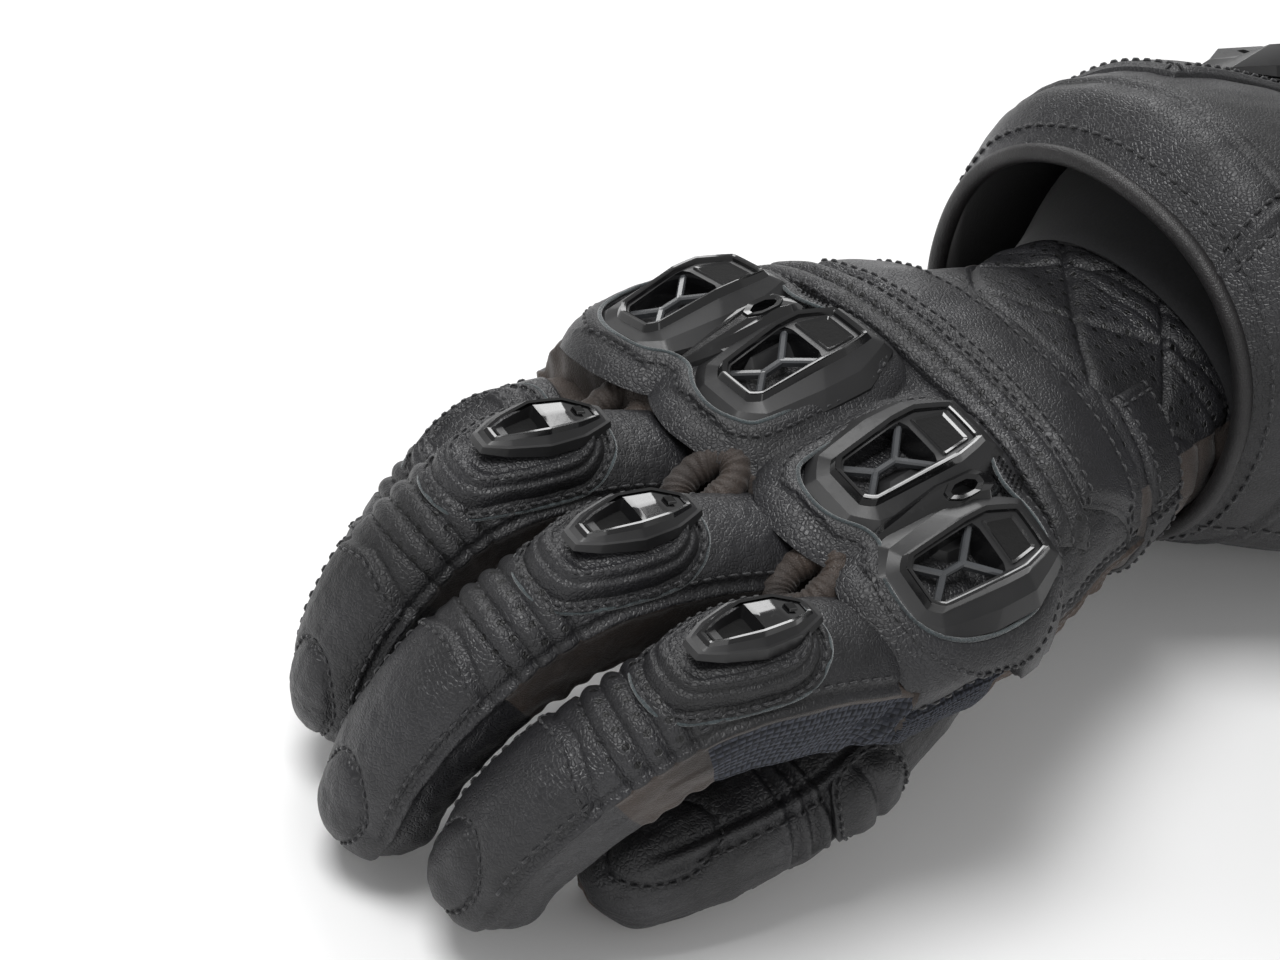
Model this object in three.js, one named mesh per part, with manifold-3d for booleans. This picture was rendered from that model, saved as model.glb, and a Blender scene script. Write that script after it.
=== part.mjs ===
// Right-hand long motorcycle race glove, back of the hand up, standing on its fingertips, thumb and cuff.
// Millimetres, +Z up. Fingers point along -Y, the cuff opens along +Y, the thumb is on the +X side.
// Places are worked out in the hand's own frame, whose origin is on the floor under the knuckle line;
// the whole group is then moved so that the origin is under the middle of the glove.
import * as THREE from "three";
import { mergeVertices } from "three/addons/utils/BufferGeometryUtils.js";
import Module from "manifold-3d";

const wasm = await Module();
wasm.setup();

// ---------------------------------------------------------------- driving dimensions
const GAP = 0.3;                 // clearance between touching pieces
const WALL = 2.2;                // leather and lining together
const ORIGIN = { x: 4.65, y: 51.55, z: 2.1 };   // middle of the glove's footprint in the hand's frame
const RING = 12;                 // sides of a finger sleeve
const HAND_RING = 24;            // sides of a hand sleeve

const WEB_Y = -13;               // front of the hand, where the finger sleeves start
const WRIST_Y = 60;              // rear of the hand panels
const SEAM_Z = 42;               // height of the side seam between palm and back
const LIFT = 2.3;                // the hard shells sit this far above the back of the hand

// Sections of the hand along Y: middle (x, z), half width a, half height b, squareness n.
const HAND = [
  { y: -12, x: 0, z: 45.5, a: 47.5, b: 15.5, n: 2.7 },
  { y: 5, x: -0.5, z: 46.5, a: 47.5, b: 17.5, n: 2.6 },
  { y: 25, x: -2, z: 47, a: 44.5, b: 20, n: 2.5 },
  { y: 45, x: -4, z: 45.5, a: 39.5, b: 21, n: 2.4 },
  { y: WRIST_Y, x: -5, z: 43, a: 35.5, b: 20, n: 2.3 },
];
const WRIST = [
  { y: WRIST_Y + GAP, x: -5, z: 43, a: 35.5, b: 20, n: 2.3 },
  { y: 76, x: -6, z: 42.5, a: 31.5, b: 18.8, n: 2.2 },
  { y: 92, x: -7, z: 43.5, a: 30, b: 18.5, n: 2.1 },
];

// Cuff: a flaring tube that stands off the wrist and droops a little towards its mouth.
const CUFF = [
  { y: 84, x: -9, z: 50.5, a: 38, b: 33.5, n: 2.2 },
  { y: 94, x: -8.5, z: 54, a: 44.5, b: 41, n: 2.1 },
  { y: 115, x: -5, z: 51, a: 49.5, b: 42.5, n: 2.15 },
  { y: 150, x: 3, z: 43.5, a: 53.5, b: 39.5, n: 2.2 },
  { y: 184, x: 10, z: 41, a: 56, b: 38.5, n: 2.25 },
];
const LINING = [
  { y: 95, x: -6.5, z: 44, a: 32, b: 21, n: 2.1 },
  { y: 115, x: -5, z: 47, a: 42, b: 33, n: 2.15 },
  { y: 150, x: 3, z: 43.5, a: 50, b: 36, n: 2.2 },
  { y: 183.5, x: 10, z: 41, a: 52.5, b: 35, n: 2.25 },
];

// Fingers: middle line points from the web to the tip, half width a and half height b at each,
// where along it the middle knuckle is, how long its accordion is, and where the slider sits.
const FINGERS = {
  index: {
    path: [[35.5, WEB_Y, 46.5], [34.5, -30, 50], [33, -46, 49.5], [29.5, -60, 40], [25.5, -68, 27], [23.5, -70.5, 17]],
    a: [11.4, 11.4, 10.6, 10.2, 9.8, 9.2], b: [11.4, 11.4, 10.2, 9.7, 9.2, 8.6],
    knuckle: 42.5, ribs: 10, slider: 26.5,
  },
  middle: {
    path: [[11, WEB_Y, 48.5], [8.5, -32, 52], [6.5, -50, 51], [4, -65, 40], [2, -73, 26], [1, -75, 15]],
    a: [11.4, 11.4, 10.8, 10.4, 10, 9.4], b: [11.4, 11.4, 10.4, 9.9, 9.3, 8.7],
    knuckle: 46, ribs: 10, slider: 29.5,
  },
  ring: {
    path: [[-13.5, WEB_Y, 47.5], [-17, -31, 50.5], [-19.5, -48, 49.5], [-20.5, -60.5, 39], [-20.5, -66, 26], [-20, -66.5, 18]],
    a: [11.2, 11.2, 10.6, 10.2, 9.6, 9], b: [11.2, 11.2, 10.2, 9.6, 9, 8.4],
    knuckle: 43.5, ribs: 10, slider: 27.5,
  },
  pinky: {
    path: [[-36, WEB_Y, 41.5], [-38.5, -22, 39], [-40.5, -33, 31.5], [-40.5, -41, 21], [-39.2, -44.5, 10.3]],
    a: [9.8, 9.9, 9.6, 9.2, 8.4], b: [9.8, 9.8, 9.4, 9, 8.2],
    knuckle: 26.5, ribs: 9, slider: 15,
  },
};
const ROOT_END = 9;              // a root gusset ends here, where the finger sleeve begins
const THUMB = {
  path: [[26, 12, 36], [31.5, -4, 28.2], [34, -20, 21.6], [33.5, -36, 18], [31.5, -47, 15]],
  a: [14, 13, 11.8, 11, 10], b: [13, 11.2, 10.2, 10.2, 9.6],
  rootStart: 9, rootEnd: 25, jointStart: 36, jointEnd: 43,
  swing: 2.6,                    // the thumb's sleeve stays this far off the hand
};

// Places of the smaller pieces.
const BINDING_R = 1.5;
const PALM_SLIDER = { x: -20, y: 40, floor: 20.2, outline: [[7, -15], [12, -8], [12, 8], [7, 15]] };
const STRAP = { y0: 62, y1: 75, split: 47, tabTop: 60 };
const FLAP = { y0: 108, y1: 176, foot: 38, edge: -14 };
const GUARD = { y: 124, angle: 48, size: 1 };
const ULNA_GUARD = { y: 157, angle: 134, size: 0.75 };

// Colours of the real pieces.
const COLOUR = {
  leather: 0x2c292b, soft: 0x2b2521, shell: 0x2a292a, gloss: 0x151516, textile: 0x1d1f26,
  suede: 0x3a322d, lining: 0x1b1b1d, edge: 0x1c1b1c,
};

// ---------------------------------------------------------------- solids
const group = new THREE.Group();
group.position.set(-ORIGIN.x, -ORIGIN.y, -ORIGIN.z);

function toSolid(geometry) {
  const bare = geometry.clone();
  bare.deleteAttribute("normal");
  bare.deleteAttribute("uv");
  const merged = mergeVertices(bare, 1e-4);
  const index = merged.index ? merged.index.array : Uint32Array.from({ length: merged.attributes.position.count }, (_, i) => i);
  const solid = new wasm.Manifold(new wasm.Mesh({
    numProp: 3,
    vertProperties: Float32Array.from(merged.attributes.position.array),
    triVerts: Uint32Array.from(index),
  }));
  return solid;
}

function toGeometry(solid) {
  const mesh = solid.getMesh();
  const geometry = new THREE.BufferGeometry();
  geometry.setAttribute("position", new THREE.BufferAttribute(Float32Array.from(mesh.vertProperties), 3));
  geometry.setIndex(new THREE.BufferAttribute(Uint32Array.from(mesh.triVerts), 1));
  geometry.computeVertexNormals();
  return geometry;
}

function add(name, shape, colour, roughness = 0.6, metalness = 0) {
  const geometry = shape.isBufferGeometry ? shape : toGeometry(shape);
  const mesh = new THREE.Mesh(geometry, new THREE.MeshStandardMaterial({ color: colour, roughness, metalness }));
  mesh.name = name;
  group.add(mesh);
  return shape;
}

const vec = (x, y, z) => new THREE.Vector3(x, y, z);
const lerp = THREE.MathUtils.lerp;
const rad = THREE.MathUtils.degToRad;

// A closed geometry from quads between neighbouring rings; loop joins the last ring to the first.
function ringsGeometry(rings, loop) {
  const count = rings[0].length;
  const points = rings.flat();
  const faces = [];
  const strips = loop ? rings.length : rings.length - 1;
  for (let i = 0; i < strips; i++) {
    const next = (i + 1) % rings.length;
    for (let j = 0; j < count; j++) {
      const k = (j + 1) % count;
      const quad = [i * count + j, i * count + k, next * count + k, next * count + j];
      faces.push(quad[0], quad[1], quad[2], quad[0], quad[2], quad[3]);
    }
  }
  if (!loop) {
    for (const [ring, turn] of [[0, -1], [rings.length - 1, 1]]) {
      const middle = rings[ring].reduce((sum, p) => sum.add(p), vec(0, 0, 0)).divideScalar(count);
      points.push(middle);
      for (let j = 0; j < count; j++) {
        const k = (j + 1) % count;
        const fan = [ring * count + j, ring * count + k, points.length - 1];
        faces.push(...(turn > 0 ? fan : fan.reverse()));
      }
    }
  }
  return orient(points, faces);
}

// Builds the geometry and turns it outwards if its volume comes out negative.
function orient(points, faces) {
  let volume = 0;
  for (let i = 0; i < faces.length; i += 3) {
    const [p, q, r] = [points[faces[i]], points[faces[i + 1]], points[faces[i + 2]]];
    volume += p.dot(q.clone().cross(r));
  }
  const index = volume < 0 ? faces.slice().reverse() : faces;
  const geometry = new THREE.BufferGeometry();
  geometry.setAttribute("position", new THREE.Float32BufferAttribute(points.flatMap((p) => [p.x, p.y, p.z]), 3));
  geometry.setIndex(index);
  geometry.computeVertexNormals();
  return geometry;
}

// A superellipse ring about a middle point, in the plane of side and up.
function ovalRing(middle, side, up, a, b, n, count) {
  return Array.from({ length: count }, (_, i) => {
    const angle = (i / count) * Math.PI * 2;
    const [c, s] = [Math.cos(angle), Math.sin(angle)];
    const u = a * Math.sign(c) * Math.abs(c) ** (2 / n);
    const v = b * Math.sign(s) * Math.abs(s) ** (2 / n);
    return middle.clone().addScaledVector(side, u).addScaledVector(up, v);
  });
}

// Section of a tube given by stations along Y, at y, grown by offset.
function stationRing(stations, y, offset, count = HAND_RING) {
  let i = 0;
  while (i < stations.length - 2 && y > stations[i + 1].y) i++;
  const [p, q] = [stations[i], stations[i + 1]];
  const t = (y - p.y) / (q.y - p.y);
  const at = (key) => lerp(p[key], q[key], t);
  return ovalRing(vec(at("x"), y, at("z")), vec(1, 0, 0), vec(0, 0, 1), at("a") + offset, at("b") + offset, at("n"), count);
}

// Open sleeve between an outer and an inner skin, through every station from y0 to y1.
function stationSleeve(stations, y0, y1, outer, inner, count = HAND_RING) {
  const inside = stations.map((s) => s.y).filter((y) => y > y0 + 1 && y < y1 - 1);
  const ys = [y0, ...inside, y1];
  const skin = (offset) => ys.map((y) => stationRing(stations, y, offset, count));
  return ringsGeometry([...skin(outer), ...skin(inner).reverse()], true);
}

function stationSolid(stations, y0, y1, offset, count = HAND_RING) {
  const inside = stations.map((s) => s.y).filter((y) => y > y0 + 1 && y < y1 - 1);
  return ringsGeometry([y0, ...inside, y1].map((y) => stationRing(stations, y, offset, count)), false);
}

// Middle line of a finger with its frame: side is level, up is the back of the finger.
class Line {
  constructor({ path, a, b }) {
    this.curve = new THREE.CatmullRomCurve3(path.map((p) => vec(...p)), false, "centripetal");
    this.a = a;
    this.b = b;
    this.length = this.curve.getLength();
    this.steps = path.length - 1;
    const [from, to] = [path[0], path[path.length - 1]];
    this.across = vec(from[1] - to[1], to[0] - from[0], 0).normalize();
  }

  at(s) {
    const u = THREE.MathUtils.clamp(s / this.length, 0, 1);
    const t = this.curve.getUtoTmapping(u);
    const middle = this.curve.getPoint(t);
    const ahead = this.curve.getTangent(t);
    middle.addScaledVector(ahead, Math.min(0, s) + Math.max(0, s - this.length));
    const side = this.across.clone().addScaledVector(ahead, -this.across.dot(ahead)).normalize();
    const up = ahead.clone().cross(side);
    const k = Math.min(Math.floor(t * this.steps), this.steps - 1);
    const f = t * this.steps - k;
    return { middle, ahead, side, up, a: lerp(this.a[k], this.a[k + 1], f), b: lerp(this.b[k], this.b[k + 1], f) };
  }

  ring(s, offset = 0, count = RING) {
    const { middle, side, up, a, b } = this.at(s);
    return ovalRing(middle, side, up, a + offset, b + offset, 2.25, count);
  }

  sleeve(s0, s1, steps, swell = () => 0, wall = WALL) {
    const stops = Array.from({ length: steps + 1 }, (_, i) => lerp(s0, s1, i / steps));
    const outer = stops.map((s) => this.ring(s, swell(s)));
    const inner = stops.map((s) => this.ring(s, -wall)).reverse();
    return ringsGeometry([...outer, ...inner], true);
  }

  // A sleeve that starts open at s0 and closes in a round tip.
  cap(s0, steps, wall = WALL) {
    const dome = (offset) => {
      const reach = this.b.at(-1) + offset;
      const turns = [20, 40, 60, 76].map(rad);
      const last = this.at(this.length);
      const body = Array.from({ length: steps + 1 }, (_, i) => this.ring(lerp(s0, this.length, i / steps), offset));
      const round = turns.map((turn) => ovalRing(
        last.middle.clone().addScaledVector(last.ahead, reach * Math.sin(turn)), last.side, last.up,
        (last.a + offset) * Math.cos(turn), (last.b + offset) * Math.cos(turn), 2.25, RING));
      return { rings: [...body, ...round], pole: last.middle.clone().addScaledVector(last.ahead, reach) };
    };
    return capGeometry(dome(0), dome(-wall));
  }
}

// Outer and inner domes joined round their open edge.
function capGeometry(outer, inner) {
  const count = RING;
  const points = [...outer.rings.flat(), outer.pole, ...inner.rings.flat(), inner.pole];
  const faces = [];
  const shell = (rings, base, outward) => {
    for (let i = 0; i < rings.length - 1; i++) {
      for (let j = 0; j < count; j++) {
        const k = (j + 1) % count;
        const quad = [base + i * count + j, base + i * count + k, base + (i + 1) * count + k, base + (i + 1) * count + j];
        if (!outward) quad.reverse();
        faces.push(quad[0], quad[1], quad[2], quad[0], quad[2], quad[3]);
      }
    }
    const last = base + (rings.length - 1) * count;
    const pole = base + rings.length * count;
    for (let j = 0; j < count; j++) {
      const fan = [last + j, last + ((j + 1) % count), pole];
      faces.push(...(outward ? fan : fan.reverse()));
    }
  };
  const second = outer.rings.length * count + 1;
  shell(outer.rings, 0, true);
  shell(inner.rings, second, false);
  for (let j = 0; j < count; j++) {
    const k = (j + 1) % count;
    faces.push(j, second + j, second + k, j, second + k, k);
  }
  return orient(points, faces);
}

function box(w, l, h, x, y, z) {
  return toSolid(new THREE.BoxGeometry(w, l, h).translate(x, y, z));
}

const cut = (x0, x1, y0, y1, z0, z1) => box(x1 - x0, y1 - y0, z1 - z0, (x0 + x1) / 2, (y0 + y1) / 2, (z0 + z1) / 2);

function turned(solid, matrix) {
  return solid.transform(matrix.elements.slice());
}

function place(x, y, z, rx = 0, ry = 0, rz = 0) {
  const turn = new THREE.Quaternion().setFromEuler(new THREE.Euler(rad(rx), rad(ry), rad(rz), "ZYX"));
  return new THREE.Matrix4().compose(vec(x, y, z), turn, vec(1, 1, 1));
}

// Layer between two offsets of a solid made by body(offset), cut to the part inside a prism.
function layer(body, low, high, cutter) {
  return body(high).subtract(body(low)).intersect(cutter);
}

// Mirrors a half outline given from front to rear, so that both sides get the same points.
function mirrored(half) {
  return [...half, ...half.slice().reverse().map(([x, ...rest]) => [-x, ...rest])];
}

// Solid through rings of [x, y, z] points, one ring for each outline.
function facets(...outlines) {
  return toSolid(ringsGeometry(outlines.map((ring) => ring.map((p) => vec(...p))), false));
}

const flat = (outline, z) => outline.map(([x, y]) => [x, y, z]);
const grown = (outline, by) => outline.map(([x, y]) => [x + Math.sign(x) * by, y + Math.sign(y) * by]);

function largest(solid) {
  return solid.decompose().sort((p, q) => q.volume() - p.volume())[0];
}

// ---------------------------------------------------------------- hand
const thumbLine = new Line(THUMB);
const thumbCore = (offset) => toSolid(ringsGeometry([-6, 3, 12, 20, 28].map((s) => thumbLine.ring(s, offset, 16)), false));
const handBody = (offset, front = WEB_Y + 1) => toSolid(stationSolid(HAND, front, WRIST_Y, offset));
const underShells = handBody(LIFT, WEB_Y - 12);
const slab = (z0, z1) => box(240, 300, z1 - z0, 0, 40, (z0 + z1) / 2);

const handSleeve = toSolid(stationSleeve(HAND, WEB_Y + 1, WRIST_Y, 0, -WALL));
const sleeveCut = handSleeve.subtract(thumbCore(GAP));
add("back_of_hand_panel", largest(sleeveCut.intersect(slab(SEAM_Z + GAP / 2, 140))), COLOUR.leather);
add("palm_panel", largest(sleeveCut.intersect(slab(-60, SEAM_Z - GAP / 2))), COLOUR.suede, 0.85);

// The web panel closes the front of the hand and holds the four finger openings.
const lines = Object.fromEntries(Object.entries(FINGERS).map(([name, finger]) => [name, new Line(finger)]));
const webPlate = toSolid(stationSolid(HAND, WEB_Y - 1.5, WEB_Y + 1 - GAP, 0));
const bores = Object.values(lines).map((line) => toSolid(ringsGeometry([-8, 8].map((s) => line.ring(s, -WALL)), false)));
add("finger_web", largest(bores.reduce((plate, bore) => plate.subtract(bore), webPlate)), COLOUR.soft, 0.7);

// ---------------------------------------------------------------- knuckle shells
// One pod in its own frame: x across, y towards the wrist, z off the hand.
const POD = {
  skirt: mirrored([[5, -20.5], [10, -16], [13, -3], [12.6, 9], [8.5, 17.5]]),
  ridge: mirrored([[4.2, -15.5, 3.8], [5.6, -13.6, 4.4], [8, 0.5, 8.4], [8.3, 6, 8.6], [6.2, 14.5, 6.4]]),
  mouth: mirrored([[3.6, -14.6], [4.9, -12.8], [6.9, 0], [6.9, 4.2]]),
  window: mirrored([[2.4, -12.2], [3.7, -10.6], [5.2, 0], [5.2, 3.6]]),
  flange: 1.4, root: -7, pocket: 2.6, seat: 0.8,
};

function pod() {
  const { skirt, ridge, root, flange } = POD;
  return facets(flat(skirt, root), flat(skirt, flange), ridge);
}

// What is cut out of a pod: the funnel over the window, the pocket for the grille,
// the sunk panel behind the window and the slot at its end.
function podCuts() {
  const { mouth, window, root, pocket } = POD;
  const funnel = facets(flat(window, pocket - 0.1), mouth.map(([x, y]) => [x, y, 4.4 + (y + 14.6) * 0.24]), flat(mouth, 12));
  const opening = facets(flat(grown(window, 1.4), root - 1), flat(grown(window, 1.4), pocket));
  const panel = mirrored([[6.9, 4.8, 7.9], [7, 7, 7.9], [5, 17.5, 5.2]]);
  const sunk = facets(panel, panel.map(([x, y]) => [x, y, 12]));
  const slot = box(8.4, 1.6, 20, 0, 11.6, 4);
  return funnel.add(opening).add(sunk).add(slot);
}

// Two Y shaped ribs back to back inside a frame.
function grille() {
  const { window, seat, pocket } = POD;
  const rim = grown(window, 1.4 - GAP);
  const top = pocket - GAP;
  const frame = facets(flat(rim, seat), flat(rim, top)).subtract(facets(flat(window, seat - 1), flat(window, top + 1)));
  const bars = [
    [0, -7, 0, -0.8], [0, -7, 3.9, -12], [0, -7, -3.9, -12], [0, -0.8, 5.9, 4.2], [0, -0.8, -5.9, 4.2],
  ].map(([x0, y0, x1, y1]) => bar(x0, y0, x1, y1, 1.3, seat, top));
  const ribs = bars.reduce((sum, rib) => sum.add(rib)).intersect(facets(flat(rim, seat), flat(rim, top)));
  return frame.add(ribs);
}

// A straight rib between two points.
function bar(x0, y0, x1, y1, width, z0, z1) {
  const length = Math.hypot(x1 - x0, y1 - y0) + width;
  const geometry = new THREE.BoxGeometry(length, width, z1 - z0);
  geometry.rotateZ(Math.atan2(y1 - y0, x1 - x0));
  geometry.translate((x0 + x1) / 2, (y0 + y1) / 2, (z0 + z1) / 2);
  return toSolid(geometry);
}

// The raised vent between two pods: a pointed wedge with a six-sided hole.
function vent() {
  const foot = mirrored([[0.8, -15], [5.6, 3], [4.6, 10], [2.4, 14]]);
  const crest = mirrored([[0.4, -13.5, 2.2], [3.2, 4, 5.4], [2.8, 9.5, 5.6], [1.2, 12.5, 3.6]]);
  const hole = mirrored([[0.6, 3.6], [1.7, 5.4], [1.7, 7.6], [0.6, 9.4]]);
  return facets(flat(foot, POD.root), flat(foot, 0.8), crest).subtract(facets(flat(hole, POD.root - 1), flat(hole, 9)));
}

// Each shell: the places of its two pods on the back of the hand and how far each leans.
const SHELLS = {
  index_middle: [
    { name: "index", x: 36.5, y: 3.5, lean: 20, yaw: 3 },
    { name: "middle", x: 16.5, y: 6.5, lean: 7, yaw: 1 },
  ],
  ring_pinky: [
    { name: "ring", x: -10.5, y: 6, lean: -4, yaw: -1 },
    { name: "pinky", x: -33, y: 4, lean: -16, yaw: -4 },
  ],
};

const SPLIT_X = 3;               // the two knuckle pads meet here

// Height of the back of the hand at (x, y).
function backHeight(x, y) {
  let i = 0;
  while (i < HAND.length - 2 && y > HAND[i + 1].y) i++;
  const t = (y - HAND[i].y) / (HAND[i + 1].y - HAND[i].y);
  const at = (key) => lerp(HAND[i][key], HAND[i + 1][key], t);
  return at("z") + at("b") * (1 - Math.abs((x - at("x")) / at("a")) ** at("n")) ** (1 / at("n"));
}

function backFrame({ x, y, lean, yaw }, lift = LIFT) {
  const pitch = Math.atan2(backHeight(x, y + 10) - backHeight(x, y - 10), 20) * 180 / Math.PI;
  return place(x, y, backHeight(x, y) + lift, pitch, lean, yaw);
}

// Outline of the bridge that joins two pods.
function bridge(outer, inner) {
  const reach = Math.abs(outer.x - inner.x) / 2;
  return mirrored([[reach, -8], [reach, 15]]);
}

for (const [pair, [outer, inner]] of Object.entries(SHELLS)) {
  const frames = [outer, inner].map((spot) => backFrame(spot));
  const middle = backFrame({
    x: (outer.x + inner.x) / 2, y: (outer.y + inner.y) / 2, lean: (outer.lean + inner.lean) / 2, yaw: (outer.yaw + inner.yaw) / 2,
  });
  const bridgeCut = turned(facets(flat(bridge(outer, inner), -12), flat(bridge(outer, inner), 12)), middle);
  const bridgeLayer = layer(handBody, LIFT, LIFT + 2, bridgeCut);
  const pods = frames.map((frame) => turned(pod(), frame)).reduce((sum, solid) => sum.add(solid));
  const cuts = frames.map((frame) => turned(podCuts(), frame)).reduce((sum, solid) => sum.add(solid));
  const whole = pods.add(bridgeLayer).add(turned(vent(), middle)).subtract(cuts).subtract(underShells);
  const ventHole = turned(box(2.6, 4.4, 24, 0, 6.5, 0), middle);
  add(`knuckle_shell_${pair}`, largest(whole.subtract(ventHole)), COLOUR.shell, 0.4);
  [outer, inner].forEach((spot, i) => {
    add(`knuckle_grille_${spot.name}`, largest(turned(grille(), frames[i]).subtract(underShells)), COLOUR.gloss, 0.2);
  });
  const padCut = [...frames, middle].map((frame, i) => {
    const outline = i < 2 ? grown(POD.skirt, 2.2) : bridge(outer, inner);
    return turned(facets(flat(outline, -14), flat(outline, 14)), frame);
  }).reduce((sum, solid) => sum.add(solid));
  const half = middle.elements[12] > SPLIT_X ? cut(SPLIT_X + GAP, 90, -60, 90, 0, 120) : cut(-90, SPLIT_X - GAP, -60, 90, 0, 120);
  add(`knuckle_pad_${pair}`, largest(layer(handBody, GAP, LIFT - GAP, padCut.intersect(half))), COLOUR.leather);
}

// ---------------------------------------------------------------- bands on the back of the hand
const band = (y0, y1, x0, x1) => box(x1 - x0, y1 - y0, 80, (x0 + x1) / 2, (y0 + y1) / 2, 80);
add("flex_band", largest(layer(handBody, GAP, 2.6, band(27, 36, -43, 36))), COLOUR.leather);
add("back_bridge_band", largest(layer(handBody, GAP, 1.6, band(37, 56, -38, 31))), COLOUR.leather);

// ---------------------------------------------------------------- fingers
// A slider: boat-shaped hard cap with a front window, a raised facet and a small rear vent.
const SLIDER = {
  foot: mirrored([[2.6, -11.5], [5.6, -7.5], [7.2, -1], [6, 6], [2.6, 11.5]]),
  crest: mirrored([[2, -9.6, 1.8], [2.4, -7.4, 2.5], [3.4, -1, 4], [3, 5, 3.6], [2, 9.6, 1.9]]),
  window: mirrored([[1.5, -7.8], [2.3, -2]]),
};

function slider() {
  const { foot, crest, window } = SLIDER;
  const body = facets(flat(foot, -6), flat(foot, 0.9), crest);
  return body.subtract(facets(flat(window, -8), flat(window, 6))).subtract(box(2.6, 2.2, 20, 0, 6.8, 0));
}

const PAD_OUTLINE = mirrored([[5, -11.5], [10.6, -6], [11.9, 1], [10.6, 8], [6, 14]]);

// What a piece in front of the hand has to stay clear of.
const handCore = handBody(GAP).add(toSolid(stationSolid(HAND, WEB_Y - 1.5 - GAP, WEB_Y + 4, LIFT)));
const outside = (geometry) => largest(toSolid(geometry).subtract(handCore));

// Solid that fills a finger up to its accordion, on the same stops as its sleeve, as a function of offset.
function sleeveBody(line, ribsStart) {
  const stops = [0, 1 / 3, 2 / 3, 1].map((part) => lerp(ROOT_END + GAP, ribsStart - GAP, part));
  return (offset) => toSolid(ringsGeometry([0, ...stops].map((s) => line.ring(s, offset)), false));
}

for (const [name, finger] of Object.entries(FINGERS)) {
  const line = lines[name];
  const ribsStart = finger.knuckle - finger.ribs / 2;
  const ribsEnd = finger.knuckle + finger.ribs / 2;
  const gather = (s) => 0.5 * Math.abs(Math.sin(s / ROOT_END * Math.PI * 2)) - 0.5;
  const ribs = (s) => 1.2 * Math.abs(Math.sin((s - ribsStart) / finger.ribs * Math.PI * 3)) - 0.2;
  add(`${name}_root_gusset`, outside(line.sleeve(-1, ROOT_END, 2, gather)), COLOUR.soft, 0.75);
  add(`${name}_sleeve`, line.sleeve(ROOT_END + GAP, ribsStart - GAP, 3), COLOUR.leather);
  add(`${name}_accordion`, line.sleeve(ribsStart, ribsEnd, 6, ribs), COLOUR.leather);
  add(`${name}_fingertip`, line.cap(ribsEnd + GAP, 3), COLOUR.leather);

  const body = sleeveBody(line, ribsStart);
  const { middle, ahead, side, up, b } = line.at(finger.slider);
  const frame = new THREE.Matrix4().makeBasis(side, ahead.clone().negate(), up).setPosition(middle.clone().addScaledVector(up, b));
  const size = name === "pinky" ? 0.84 : 1;
  const outline = PAD_OUTLINE.map(([x, y]) => [x * size, y * size]);
  const column = turned(facets(flat(outline, -9), flat(outline, 8)), frame);
  add(`${name}_pad`, largest(layer(body, GAP + 0.4, 3, column)), COLOUR.leather);
  if (name === "pinky") continue;
  const cap = turned(slider(), frame.clone().multiply(place(0, 0, 3.2)));
  add(`${name}_slider`, largest(cap.subtract(body(3.3))), COLOUR.shell, 0.35);
}

// Stretch textile on the thumb side of the index finger.
const { knuckle, ribs: indexRibs } = FINGERS.index;
const indexBody = sleeveBody(lines.index, knuckle - indexRibs / 2);
const stretchCut = cut(37, 60, -40.5, -23.5, 38.5, 51);
add("stretch_panel", largest(layer(indexBody, GAP, 1.5, stretchCut)), COLOUR.textile, 0.9);

// ---------------------------------------------------------------- thumb
const { rootStart, rootEnd, jointStart, jointEnd } = THUMB;
const thumbBody = (offset) => toSolid(ringsGeometry([rootEnd + 1, 30, jointStart - GAP].map((s) => thumbLine.ring(s, offset)), false));
add("thumb_root_gusset", outside(thumbLine.sleeve(rootStart, rootEnd, 4)), COLOUR.soft, 0.75);
const swingRoom = handBody(THUMB.swing, WEB_Y - 5);
add("thumb_sleeve", largest(outside(thumbLine.sleeve(rootEnd + GAP, jointStart - GAP, 2)).subtract(swingRoom)), COLOUR.leather);
add("thumb_joint_gusset", thumbLine.sleeve(jointStart, jointEnd, 3), COLOUR.soft, 0.75);
add("thumb_tip", thumbLine.cap(jointEnd + GAP, 2), COLOUR.leather);
const thumbPad = layer(thumbBody, GAP, 2.4, box(20, 40, 30, 46, -20, 20));
add("thumb_pad", largest(thumbPad.subtract(handCore).subtract(swingRoom)), COLOUR.leather);

// ---------------------------------------------------------------- palm
const { x: sliderX, y: sliderY, floor: sliderFloor } = PALM_SLIDER;
const sliderOutline = mirrored(PALM_SLIDER.outline).map(([x, y]) => [x + sliderX, y + sliderY]);
const around = (outline, by) => outline.map(([x, y]) => [
  x + Math.sign(x - sliderX) * by, y + Math.sign(y - sliderY) * by,
]);
const sliderBlock = facets(flat(sliderOutline, sliderFloor), flat(around(sliderOutline, 2), sliderFloor + 2), flat(around(sliderOutline, 2), 34));
const holes = [-9.5, 9.5].map((y) => box(9, 2.4, 30, sliderX, sliderY + y, 20));
add("palm_slider", largest(sliderBlock.subtract(handBody(1.7)).subtract(holes[0]).subtract(holes[1])), COLOUR.shell, 0.4);
const patchColumn = facets(flat(around(sliderOutline, 6), 0), flat(around(sliderOutline, 6), 34));
add("palm_slider_pad", largest(layer(handBody, GAP, 1.4, patchColumn)), COLOUR.suede, 0.85);

// ---------------------------------------------------------------- wrist
const wristBody = (offset) => toSolid(stationSolid(WRIST, WRIST_Y + GAP, 92, offset));
add("wrist_sleeve", stationSleeve(WRIST, WRIST_Y + GAP, 92, 0, -WALL), COLOUR.leather);
const { y0: strapFront, y1: strapRear, split, tabTop } = STRAP;
add("wrist_strap", layer(wristBody, GAP, 2.3, cut(-60, 60, strapFront, strapRear, 0, split)), COLOUR.leather);
add("strap_tab", layer(wristBody, GAP, 2.3, cut(0, 60, strapFront + 1, strapRear - 1, split + GAP, tabTop)), COLOUR.leather);

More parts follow.
